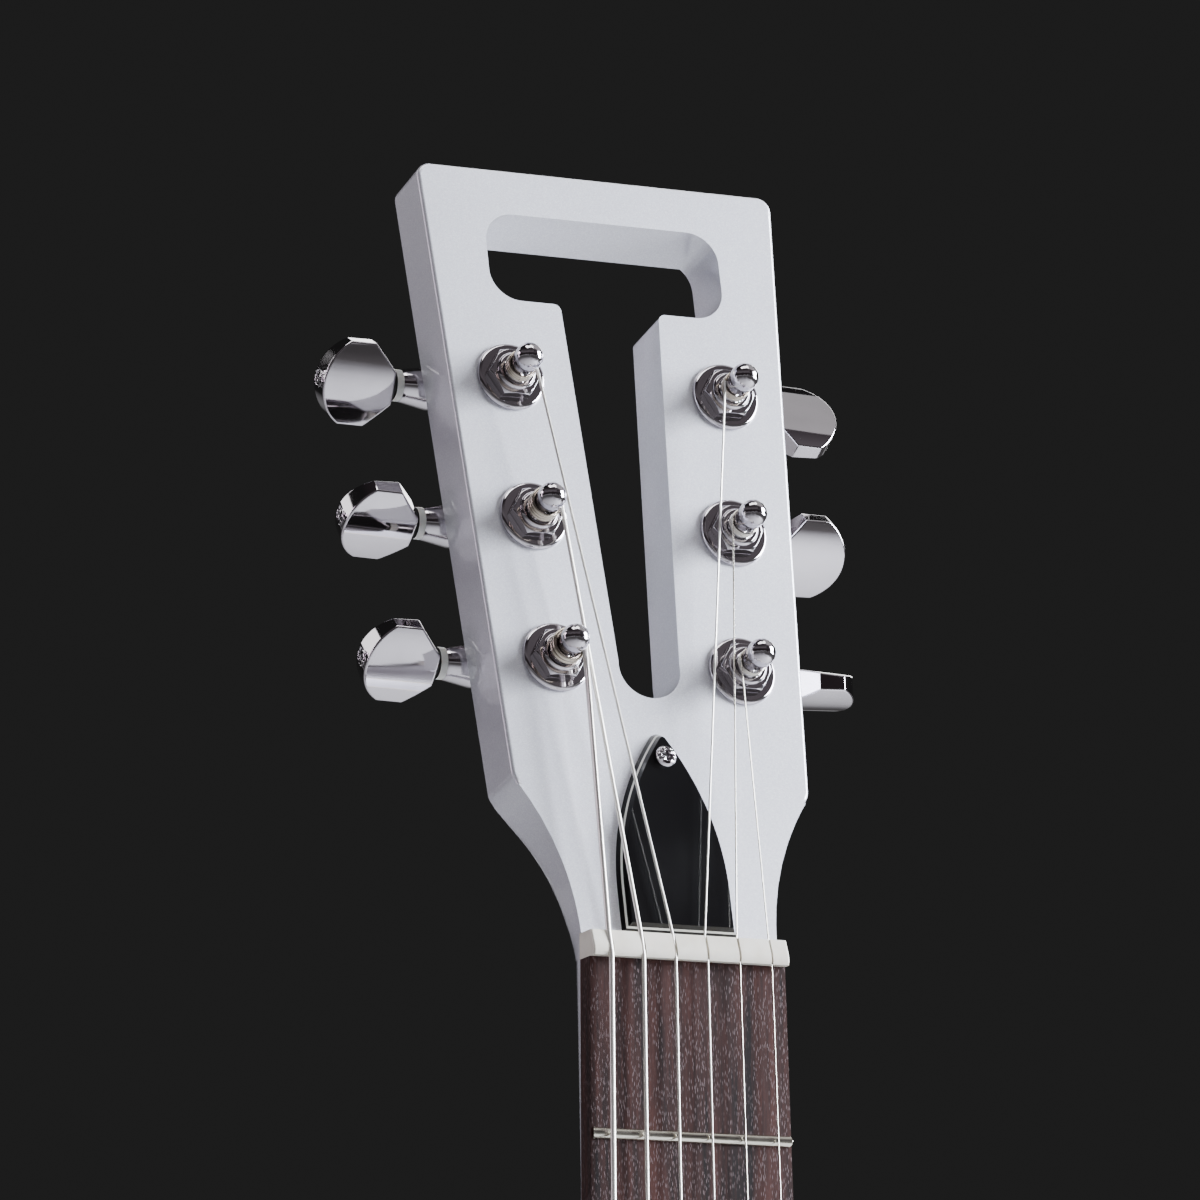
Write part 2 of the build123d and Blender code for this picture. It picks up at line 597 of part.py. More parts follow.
def layer(face, front, back):
    """A flat layer of the body between two depths."""
    return extrude(face_plane(back) * face, back - front)


def bout_curve(handles):
    """A smooth curve through a cubic's points: start, two handles and end."""
    points = []
    for step in range(9):
        t = step / 8
        shares = [(1 - t) ** 3, 3 * t * (1 - t) ** 2, 3 * t**2 * (1 - t), t**3]
        points.append(Vector(*[sum(w * h[k] for w, h in zip(shares, handles)) for k in (0, 1)]))
    first = (handles[1][0] - handles[0][0], handles[1][1] - handles[0][1])
    last = (handles[3][0] - handles[2][0], handles[3][1] - handles[2][1])
    return Spline(points, tangents=[first, last])


def body_outline(inset=0.0):
    """The body's outline, moved inwards by inset: upper bout, waist, lower bout, flat neck and tail ends."""
    flat, start, end = 30.0, inset, BODY_LENGTH - inset
    upper, waist, lower = (127.5 - inset, 85.0), (112.0 - inset, 172.0), (178.5 - inset, 372.0)
    spans = [
        [(flat, start), (90 - inset / 2, start), (upper[0], 30 + inset / 2), upper],
        [upper, (upper[0], 117), (waist[0], 142), waist],
        [waist, (waist[0], 217), (lower[0], 262), lower],
        [lower, (lower[0], 446 - inset / 2), (104 - inset / 2, end), (flat, end)],
    ]
    right = [bout_curve([(x, BODY_Z - s) for x, s in span]) for span in spans]
    left = [bout_curve([(-x, BODY_Z - s) for x, s in reversed(span)]) for span in reversed(spans)]
    tail = Line((flat, BODY_Z - end), (-flat, BODY_Z - end))
    return make_face(right + [tail] + left + [Line((-flat, BODY_Z - start), (flat, BODY_Z - start))])


BRIDGE = (0.0, SADDLE_Z)  # centre of the cone and its cover
WELL_IN, WELL_OUT = CONE_R + 4.0, CONE_R + 13.0
LEDGE_Y = 31.0
HOLE_SPOT = (76.0, BODY_Z - 84.0)
HOLE_R = 23.0
PLATE_TOP_Y = 1.5  # raised middle of the cover plate
APEX_Y = 10.5
REST_HALF = 58.0  # half length of the hand rest


def make_body(neck_bolt_holes):
    """Rim, plates, bindings, linings, blocks and braces of the body."""
    outer, bound, walled, lined = [body_outline(d) for d in (0, BINDING, RIM_WALL, RIM_WALL + 6.0)]
    top_in, back_in = TOP_Y + PLY, BACK_Y - PLY
    rim = layer(outer, top_in, back_in) - layer(walled, top_in - 1, back_in + 1)
    inner = layer(walled, top_in, back_in)
    neck_block = block((-36, top_in, BODY_Z - 55), (36, back_in, BODY_Z)) & inner
    tail_block = block((-32, top_in, TAIL_Z), (32, back_in, TAIL_Z + 30)) & inner
    ring = layer(walled, top_in, top_in + 14) - layer(lined, top_in - 1, top_in + 15)
    ring = ring - neck_block - tail_block
    linings = [ring, Pos(0, back_in - top_in - 14, 0) * ring]
    top = layer(bound, TOP_Y, top_in) - layer(Pos(*BRIDGE) * Circle(WELL_IN), TOP_Y - 1, top_in + 1)
    for side in (-1, 1):
        spot = Pos(side * HOLE_SPOT[0], HOLE_SPOT[1]) * Circle(HOLE_R)
        top -= layer(spot, TOP_Y - 1, top_in + 1)
    back = layer(bound, back_in, BACK_Y)
    edge = layer(outer, TOP_Y, top_in) - layer(bound, TOP_Y - 1, top_in + 1)
    braces = []
    for z, half in ((BODY_Z - 105, 108), (TAIL_Z + 56, 128)):
        bar = block((-half, back_in - 9, z - 5), (half, back_in, z + 5))
        braces.append(bar - linings[1])
    for hole in neck_bolt_holes:
        rim -= hole
        neck_block -= hole
    save("body_top", top - cover_holes())
    save("body_back", back)
    save("body_bindings", edge, Pos(0, back_in - TOP_Y, 0) * edge)
    save("body_linings", *linings)
    save("back_braces", *braces)
    return rim, neck_block, tail_block


def neck_bolts():
    """Two bolts from inside the body into the heel, with their washers, and the holes for them."""
    bolts, holes = [], []
    for y, reach in ((26.0, 20.0), (44.0, 8.0)):
        inside = BODY_Z - 55
        shank = cyl(3.0, (0, y, inside - 1.5), (0, y, BODY_Z + reach))
        head = extrude(Plane(origin=(0, y, inside - 1.5), z_dir=(0, 0, -1)) * RegularPolygon(5.5, 6), 4.5)
        washer = cyl(8.0, (0, y, inside - 1.5), (0, y, inside))
        bolts.append(shank + head + washer)
        holes.append(cyl(3.0 + HOLE_EASE, (0, y, inside - 10), (0, y, BODY_Z + reach + 0.5)))
    return bolts, holes


def make_soundwell():
    """Plywood ring between top and back, with a ledge for the cone and round ports."""
    top_in, back_in = TOP_Y + PLY, BACK_Y - PLY
    centre = Pos(*BRIDGE)
    well = layer(centre * Circle(WELL_OUT), top_in, back_in)
    well -= layer(centre * Circle(WELL_IN), top_in - 1, LEDGE_Y)
    well -= layer(centre * Circle(CONE_R - 8.0), LEDGE_Y - 1, LEDGE_Y + 6.0)
    well -= layer(centre * Circle(WELL_IN), LEDGE_Y + 6.0, back_in + 1)
    for a in arc_fan(8, 22.5):
        x, z = cos(radians(a)) * WELL_OUT * 1.2, SADDLE_Z + sin(radians(a)) * WELL_OUT * 1.2
        well -= cyl(17.0, (0, 63, SADDLE_Z), (x, 63, z))
    return well - cover_holes()


def make_cone():
    """Spun aluminium cone: a rolled rim, a dished wall with steps and a flat top for the biscuit."""
    wall, seat_r = 0.7, 26.0
    rim_y = LEDGE_Y - 2.0
    steps = [(CONE_R, LEDGE_Y), (CONE_R, rim_y), (CONE_R - 4, rim_y), (96, 22.6), (95, 21.2)]
    steps += [(62, 14.8), (61, 13.4), (seat_r + 5, APEX_Y), (0, APEX_Y)]
    outer = [(r, -y) for r, y in steps]
    inner = [(max(r - (0.8 if 0 < k < 3 else 0), 0), -(y + wall)) for k, (r, y) in enumerate(steps)]
    inner[0] = (CONE_R - 0.8, -LEDGE_Y)
    inner[1] = (CONE_R - 0.8, -(rim_y + wall))
    plane = Plane(origin=(0, 0, SADDLE_Z), x_dir=(1, 0, 0), z_dir=(0, -1, 0))
    cone = turned(outer + inner[::-1][0:-1] + [inner[0]], plane)
    return cone - cyl(1.6, (0, APEX_Y - 5, SADDLE_Z), (0, APEX_Y + 5, SADDLE_Z))


def make_biscuit():
    """Round maple biscuit with its screw, and the saddle that stands in its groove."""
    front = APEX_Y - 7.5
    biscuit = cyl(25.0, (0, APEX_Y, SADDLE_Z), (0, front, SADDLE_Z))
    biscuit = fillet(biscuit.edges().filter_by(lambda e: abs((e @ 0.5).Y - front) < 0.01), 1.0)
    biscuit -= block((-30, front - 1, SADDLE_Z - 1.6), (30, front + 2.5, SADDLE_Z + 1.6))
    crest = SADDLE_FLOOR - 0.5
    saddle = block((-31, crest, SADDLE_Z - 1.6), (31, front + 2.5, SADDLE_Z + 1.6))
    overhang = block((25.2, front - 0.2, SADDLE_Z - 3), (40, front + 5, SADDLE_Z + 3))
    saddle -= overhang
    saddle -= mirror(overhang, about=Plane.YZ)
    crown = saddle.edges().filter_by(Axis.X).filter_by(lambda e: abs((e @ 0.5).Y - crest) < 0.01)
    saddle = chamfer(crown, 0.6)
    for i, dia in enumerate(STRING_DIA):
        x, half = string_x(i, SADDLE_PITCH), dia / 2 + 0.05
        saddle -= block((x - half, crest - 1, SADDLE_Z - 3), (x + half, SADDLE_FLOOR + 0.08, SADDLE_Z + 3))
    frame = Plane(origin=(0, APEX_Y + 0.7, SADDLE_Z), z_dir=(0, 1, 0), x_dir=(1, 0, 0))
    screw = pan_screw(frame, 3.4, 2.2, SCREW_R, 4.5)
    biscuit -= cyl(SCREW_R + HOLE_EASE, (0, APEX_Y + 1, SADDLE_Z), (0, APEX_Y - 4.8, SADDLE_Z))
    return biscuit, saddle, screw


def cover_spots():
    """Where the cover plate's rim screws stand, as (x, z)."""
    r = COVER_R - 5.5
    return [(r * cos(radians(a)), SADDLE_Z + r * sin(radians(a))) for a in arc_fan(9, 90.0)]


def cover_holes():
    """Pilot holes of the rim screws in the soundboard and the soundwell."""
    return [cyl(SCREW_R + HOLE_EASE, (x, TOP_Y - 1, z), (x, TOP_Y + 12, z)) for x, z in cover_spots()]


def rest_spots():
    """Where the hand rest's screws stand, as (x, z)."""
    return [(s * (REST_HALF - 5), SADDLE_Z + z) for s in (-1, 1) for z in (-9, 9)]


def make_cover():
    """Domed cover plate with fans of round holes, a window for the saddle, and its rim screws."""
    gauge, foot = 1.2, TOP_Y
    plane = Plane(origin=(0, 0, SADDLE_Z), x_dir=(1, 0, 0), z_dir=(0, -1, 0))
    outer = [(COVER_R, foot), (COVER_R, foot - gauge), (121, foot - gauge), (118, foot - 2.4)]
    outer += [(106, PLATE_TOP_Y + 1.6), (101, PLATE_TOP_Y + 0.5), (95, PLATE_TOP_Y), (0, PLATE_TOP_Y)]
    inner = [(0, PLATE_TOP_Y + gauge), (95, PLATE_TOP_Y + gauge), (101, PLATE_TOP_Y + 0.5 + gauge)]
    inner += [(105.6, PLATE_TOP_Y + 1.6 + gauge), (117.4, foot - 2.4 + gauge), (120.4, foot)]
    plate = turned([(r, -y) for r, y in outer + inner], plane)
    middle = RectangleRounded(78.0, 56.0, 14.0)
    plate -= layer(Pos(*BRIDGE) * middle, PLATE_TOP_Y - 5, PLATE_TOP_Y + 5)
    holes = []
    for a in arc_fan(10, 18.0):
        for distance, count, radius in ((88, 3, 3.4), (76, 3, 2.9), (64, 2, 2.6), (53, 1, 2.4)):
            for k in range(count):
                spread = radians(a + (k - (count - 1) / 2) * 9.5)
                x, z = distance * cos(spread), SADDLE_Z + distance * sin(spread)
                holes.append(cyl(radius, (x, PLATE_TOP_Y - 3, z), (x, PLATE_TOP_Y + 4, z)))
    plate -= holes
    plate -= [cyl(SCREW_R + 0.1, (x, PLATE_TOP_Y - 2, z), (x, PLATE_TOP_Y + 3, z)) for x, z in rest_spots()]
    screws = []
    for x, z in cover_spots():
        plate -= cyl(SCREW_R + 0.15, (x, foot - 4, z), (x, foot + 2, z))
        frame = Plane(origin=(x, foot - gauge, z), z_dir=(0, -1, 0), x_dir=(1, 0, 0))
        screws.append(pan_screw(frame, 3.0, 1.7, SCREW_R, 12.0))
    return plate, screws


def make_hand_rest():
    """Arched rest over the saddle, with four feet on the cover plate and a screw in each."""
    half, rise, gauge, width = REST_HALF, 15.0, 1.4, 15.0
    seat_y = PLATE_TOP_Y
    top_y = seat_y - rise
    foot_y = seat_y - gauge / 2
    path = [(-half, foot_y), (-half + 12, foot_y), (-half + 22, top_y)]
    path += [(-x, y) for x, y in reversed(path)]
    line = FilletPolyline(*path, radius=6.0)
    section = Plane(origin=line @ 0, z_dir=line % 0, x_dir=(0, 0, 1)) * Rectangle(2 * width, gauge)
    rest = Pos(0, 0, SADDLE_Z) * sweep(section, line)
    rest -= [cyl(SCREW_R + 0.1, (x, seat_y - 4, z), (x, seat_y + 2, z)) for x, z in rest_spots()]
    screws = []
    for x, z in rest_spots():
        frame = Plane(origin=(x, seat_y - gauge, z), z_dir=(0, -1, 0), x_dir=(1, 0, 0))
        screws.append(pan_screw(frame, 2.6, 1.4, SCREW_R, 4.0))
    return rest, screws


def make_tailpiece():
    """Stamped tailpiece: a slotted string bar, a tapering plate and a fold over the end of the body."""
    y, z = TAIL_STRING
    bar_half, lip = 31.0, 10.0
    points = [(-15, TAIL_Z), (-bar_half, z - lip), (-bar_half, z + 1)]
    points += [(-px, pz) for px, pz in reversed(points)]
    plate_y = TOP_Y - 2.6
    plate = layer(make_face(Polyline(points, close=True)), plate_y, plate_y + TAIL_PLATE)
    corners = [(-16, z - lip - 4), (16, z - lip - 4), (7, TAIL_Z + 16), (-7, TAIL_Z + 16)]
    window = make_face(Polyline(corners, close=True))
    plate -= layer(window, plate_y - 2, plate_y + 4)
    bar = block((-bar_half, y - 3.2, z - lip), (bar_half, plate_y + 0.5, z + 1))
    bar = fillet(bar.edges().filter_by(Axis.X).filter_by(lambda e: (e @ 0.5).Y < y), 2.0)
    fold = block((-15, plate_y, TAIL_Z - TAIL_PLATE), (15, plate_y + 48, TAIL_Z))
    fold = fillet(fold.edges().filter_by(Axis.Y), 0.5)
    piece = plate + bar + fold
    for i, dia in enumerate(STRING_DIA):
        x = string_x(i, TAIL_PITCH)
        piece -= cyl(dia / 2 + 0.05, (x, y, z - 0.05), (x, y, z + 3))
        piece -= cyl(2.6, (x, y, z - lip - 1), (x, y, z - lip + 3))
    spots = [(-9, TOP_Y + 12), (9, TOP_Y + 12), (0, TOP_Y + 40)]
    screws, holes = [], []
    for x, sy in spots:
        frame = Plane(origin=(x, sy, TAIL_Z - TAIL_PLATE), z_dir=(0, 0, -1), x_dir=(1, 0, 0))
        screws.append(pan_screw(frame, 2.8, 1.5, SCREW_R, 14.0))
        holes.append(cyl(SCREW_R + HOLE_EASE, (x, sy, TAIL_Z - 5), (x, sy, TAIL_Z + 14)))
    for hole in holes:
        piece -= hole
    return piece, screws, holes


def strap_button(frame):
    """Flared strap button on its seat frame, with its screw and the screw's hole."""
    outline = [(2.15, 0), (6.4, 0), (5.2, 1.2), (4.3, 2.6), (4.2, 5.0), (4.6, 9.0), (7.6, 11.5)]
    outline += [(7.8, 12.6), (7.0, 13.6), (3.8, 13.6), (3.5, 12.4), (2.15, 12.4)]
    button = turned(outline, frame)
    top = Plane(frame.origin + frame.z_dir * 12.4, x_dir=frame.x_dir, z_dir=frame.z_dir)
    screw = pan_screw(top, 3.1, 1.9, 2.1, 34.0)
    hole = cyl(2.1 + HOLE_EASE, frame.origin + frame.z_dir * 4, frame.origin - frame.z_dir * 22)
    return button, screw, hole


def soundhole_screens():
    """Two round frames, each holding a perforated disc."""
    screens = []
    for side in (-1, 1):
        x, z = side * HOLE_SPOT[0], HOLE_SPOT[1]
        plane = Plane(origin=(x, 0, z), x_dir=(1, 0, 0), z_dir=(0, -1, 0))
        r = HOLE_R
        ring = [(r - 0.2, -TOP_Y - 3), (r - 0.2, -TOP_Y), (r + 3.5, -TOP_Y), (r + 3.2, -TOP_Y + 1.2)]
        ring += [(r - 2.0, -TOP_Y + 1.4), (r - 2.6, -TOP_Y + 0.6), (r - 2.6, -TOP_Y - 3)]
        frame = turned(ring, plane)
        disc = cyl(r - 2.6, (x, TOP_Y + 1.6, z), (x, TOP_Y + 2.2, z))
        grid = GridLocations(4.6, 4.6, 9, 9)
        spots = [p.position for p in grid if p.position.length < r - 5.0]
        disc -= [cyl(1.7, (x + p.X, TOP_Y + 1, z + p.Y), (x + p.X, TOP_Y + 3, z + p.Y)) for p in spots]
        screens += [frame, disc]
    return screens


def main():
    """Make every piece and write its file."""
    tuners = make_tuners()
    rod, rod_nut, channel = truss_parts()
    cover, cover_screw, cover_hole = rod_cover()
    face_dots, side_dots, pockets = make_dots()
    bolts, bolt_holes = neck_bolts()
    heel_button = Plane(origin=(0, BACK_Y - 10.5, BODY_Z), z_dir=(0, 0, 1), x_dir=(1, 0, 0))
    tail_button = Plane(origin=(0, TOP_Y + 26, TAIL_Z - TAIL_PLATE), z_dir=(0, 0, -1), x_dir=(1, 0, 0))
    tailpiece, tail_screws, tail_holes = make_tailpiece()
    buttons = [strap_button(heel_button), strap_button(tail_button)]
    neck_holes = tuners["hole"] + [channel, cover_hole] + bolt_holes
    rim, neck_block, tail_block = make_body(bolt_holes)
    for hole in tail_holes + [buttons[1][2]]:
        rim, tail_block, tailpiece = rim - hole, tail_block - hole, tailpiece - hole
    rim, neck_block = rim - buttons[0][2], neck_block - buttons[0][2]
    biscuit, saddle, biscuit_screw = make_biscuit()
    plate, plate_screws = make_cover()
    rest, rest_screws = make_hand_rest()
    for number, rings in windings().items():
        save(f"string_{STRING_TUNER.index(number) + 1}_winding", *rings)
    pieces = {
        "neck": [make_neck(neck_holes)],
        "fretboard": [make_board(pockets)],
        "frets": fret_wires(),
        "face_dots": face_dots,
        "side_dots": side_dots,
        "nut": [make_nut()],
        "strings": make_strings(),
        "truss_rod": [rod],
        "truss_rod_nut": [rod_nut],
        "truss_rod_cover": [cover],
        "truss_cover_screw": [cover_screw],
        "tuner_housings": tuners["housing"],
        "tuner_bushings": tuners["bushing"],
        "tuner_washers": tuners["washer"],
        "tuner_ear_screws": tuners["ear_screw"],
        "tuner_button_washers": tuners["button_washer"],
        "neck_bolts": bolts,
        "body_rim": [rim],
        "end_blocks": [neck_block, tail_block],
        "soundwell": [make_soundwell()],
        "resonator_cone": [make_cone()],
        "biscuit": [biscuit],
        "saddle": [saddle],
        "cover_plate": [plate],
        "resonator_screws": [biscuit_screw] + plate_screws + rest_screws,
        "hand_rest": [rest],
        "tailpiece": [tailpiece],
        "tail_screws": tail_screws + [b[1] for b in buttons],
        "strap_buttons": [b[0] for b in buttons],
        "soundhole_screens": soundhole_screens(),
    }
    for node, solids in pieces.items():
        save(node, *solids)


main()
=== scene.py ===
"""Looks of a resonator guitar: materials, fine hardware, strings, studio and camera.

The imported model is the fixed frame: every piece here is placed from its boxes and its joints. Lengths are in
metres. The neck runs along +Z, the strings face -Y and the treble side is +X.
"""

from __future__ import annotations

import json
import logging
import math
from dataclasses import dataclass, field
from enum import Enum
from typing import Callable, Sequence

import bpy
from mathutils import Matrix, Vector

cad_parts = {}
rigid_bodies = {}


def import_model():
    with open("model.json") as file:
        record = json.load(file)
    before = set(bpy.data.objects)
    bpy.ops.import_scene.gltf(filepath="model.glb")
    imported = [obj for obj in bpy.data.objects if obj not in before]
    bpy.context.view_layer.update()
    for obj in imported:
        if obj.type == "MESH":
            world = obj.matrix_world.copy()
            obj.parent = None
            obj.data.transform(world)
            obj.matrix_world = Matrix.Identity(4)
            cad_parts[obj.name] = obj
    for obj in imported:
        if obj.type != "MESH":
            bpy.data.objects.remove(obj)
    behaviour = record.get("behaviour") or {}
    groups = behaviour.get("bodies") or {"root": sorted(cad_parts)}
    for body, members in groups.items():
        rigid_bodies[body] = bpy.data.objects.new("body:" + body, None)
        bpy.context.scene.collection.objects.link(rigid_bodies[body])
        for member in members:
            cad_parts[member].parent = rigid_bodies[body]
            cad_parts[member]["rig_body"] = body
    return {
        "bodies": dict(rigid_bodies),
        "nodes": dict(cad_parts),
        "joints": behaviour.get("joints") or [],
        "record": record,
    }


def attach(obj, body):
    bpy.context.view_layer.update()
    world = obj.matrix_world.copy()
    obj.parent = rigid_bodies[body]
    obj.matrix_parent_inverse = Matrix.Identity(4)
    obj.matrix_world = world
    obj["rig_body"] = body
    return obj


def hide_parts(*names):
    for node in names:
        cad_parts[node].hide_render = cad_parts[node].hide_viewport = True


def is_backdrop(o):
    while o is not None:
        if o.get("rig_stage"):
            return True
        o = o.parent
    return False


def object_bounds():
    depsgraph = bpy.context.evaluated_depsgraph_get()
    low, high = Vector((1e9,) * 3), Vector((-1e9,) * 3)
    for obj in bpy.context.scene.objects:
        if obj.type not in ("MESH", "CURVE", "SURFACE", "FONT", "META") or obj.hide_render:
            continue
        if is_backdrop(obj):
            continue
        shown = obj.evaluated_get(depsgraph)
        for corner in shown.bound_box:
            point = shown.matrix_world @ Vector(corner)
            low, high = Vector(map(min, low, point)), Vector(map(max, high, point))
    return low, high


LOG = logging.getLogger("resonator_guitar")
MM = 0.001
# tuner number, diameter in millimetres and turns round the post, from the bass string to the treble one
STRING_ENDS = ((1, 1.12, 2), (2, 0.86, 3), (3, 0.62, 3), (6, 0.43, 4), (5, 0.36, 4), (4, 0.30, 4))
FLAT = 0.4  # faces that meet at less than this many degrees are one flat face

Colour = tuple[float, float, float, float]
Socket = bpy.types.NodeSocket


def rgb(red: float, green: float, blue: float) -> Colour:
    """A linear colour from sRGB parts between 0 and 1."""
    parts = [c / 12.92 if c <= 0.04045 else ((c + 0.055) / 1.055) ** 2.4 for c in (red, green, blue)]
    return (parts[0], parts[1], parts[2], 1.0)


# ---- node trees ---------------------------------------------------------------------------------
class NodeTree:
    """Short calls that fill one node tree."""

    def __init__(self, tree: bpy.types.NodeTree) -> None:
        """Start on an empty tree.

        Args:
            tree: The material's or the group's tree.
        """
        self.tree = tree
        self.tree.nodes.clear()

    def add(self, kind: str, inputs: dict | None = None, **settings: object) -> bpy.types.Node:
        """Add one node.

        Args:
            kind: The node's type without its "ShaderNode" prefix.
            inputs: Values or sockets for its inputs, by name or number.
            settings: Other properties of the node.

        Returns:
            The new node.
        """
        node = self.tree.nodes.new("ShaderNode" + kind)
        for name, value in settings.items():
            setattr(node, name, value)
        for name, value in (inputs or {}).items():
            if isinstance(value, Socket):
                self.tree.links.new(value, node.inputs[name])
            else:
                node.inputs[name].default_value = value
        return node

    def math(self, operation: str, first: Socket | float, second: Socket | float = 0.0) -> Socket:
        """One Math node's result."""
        return self.add("Math", {0: first, 1: second}, operation=operation).outputs[0]

    def ramp(self, value: Socket, stops: Sequence[tuple[float, Colour]]) -> Socket:
        """A colour ramp.

        Args:
            value: What the ramp reads.
            stops: Positions and colours, from low to high.

        Returns:
            The ramp's colour.
        """
        node = self.add("ValToRGB", {0: value})
        elements = node.color_ramp.elements
        while len(elements) < len(stops):
            elements.new(0.5)
        for element, (position, colour) in zip(elements, stops):
            element.position, element.color = position, colour
        return node.outputs[0]

    def spread(self, value: Socket, low: float, high: float) -> Socket:
        """Map a value from 0..1 to low..high."""
        node = self.add("MapRange", {"Value": value, "To Min": low, "To Max": high})
        return node.outputs[0]

    def place(self, scale: Sequence[float], turn: Sequence[float] = (0, 0, 0)) -> Socket:
        """Object coordinates, turned and scaled."""
        source = self.add("TexCoord").outputs["Object"]
        return self.add("Mapping", {"Vector": source, "Rotation": turn, "Scale": scale}).outputs[0]

    def noise(self, vector: Socket, scale: float, detail: float = 2.0, rough: float = 0.5) -> Socket:
        """A noise texture's value."""
        inputs = {"Vector": vector, "Scale": scale, "Detail": detail, "Roughness": rough}
        return self.add("TexNoise", inputs).outputs[0]

    def mix(self, factor: Socket | float, first: Socket | Colour, second: Socket | Colour) -> Socket:
        """A mix of two colours."""
        node = self.add("Mix", data_type="RGBA")
        for index, value in ((0, factor), (6, first), (7, second)):
            if isinstance(value, Socket):
                self.tree.links.new(value, node.inputs[index])
            else:
                node.inputs[index].default_value = value
        return node.outputs[2]

    def bump(self, height: Socket, strength: float, depth: float, below: Socket | None = None) -> Socket:
        """A bump's normal.

        Args:
            height: The height, 0 to 1.
            strength: How strongly it shows.
            depth: What a height of 1 is, in metres.
            below: A normal to start from.

        Returns:
            The bumped normal.
        """
        inputs = {"Height": height, "Strength": strength, "Distance": depth}
        if below is not None:
            inputs["Normal"] = below
        return self.add("Bump", inputs).outputs[0]


class Group:
    """A shader node group with named inputs and outputs, built once and placed many times."""

    def __init__(self, name: str, inputs: dict[str, float | Colour], outputs: dict[str, str]) -> None:
        """Make the group's interface.

        Args:
            name: The group's name.
            inputs: Input names and their default values; four numbers make a colour.
            outputs: Output names and their socket kinds: Float, Color or Vector.
        """
        self.tree = bpy.data.node_groups.new(name, "ShaderNodeTree")
        for label, value in inputs.items():
            kind = "NodeSocketColor" if isinstance(value, tuple) else "NodeSocketFloat"
            self.tree.interface.new_socket(label, in_out="INPUT", socket_type=kind).default_value = value
        for label, kind in outputs.items():
            self.tree.interface.new_socket(label, in_out="OUTPUT", socket_type="NodeSocket" + kind)
        self.nodes = NodeTree(self.tree)
        self.enter = self.tree.nodes.new("NodeGroupInput").outputs
        self.leave = self.tree.nodes.new("NodeGroupOutput").inputs

    def give(self, label: str, value: Socket) -> None:
        """Link a value to one of the group's outputs."""
        self.tree.links.new(value, self.leave[label])


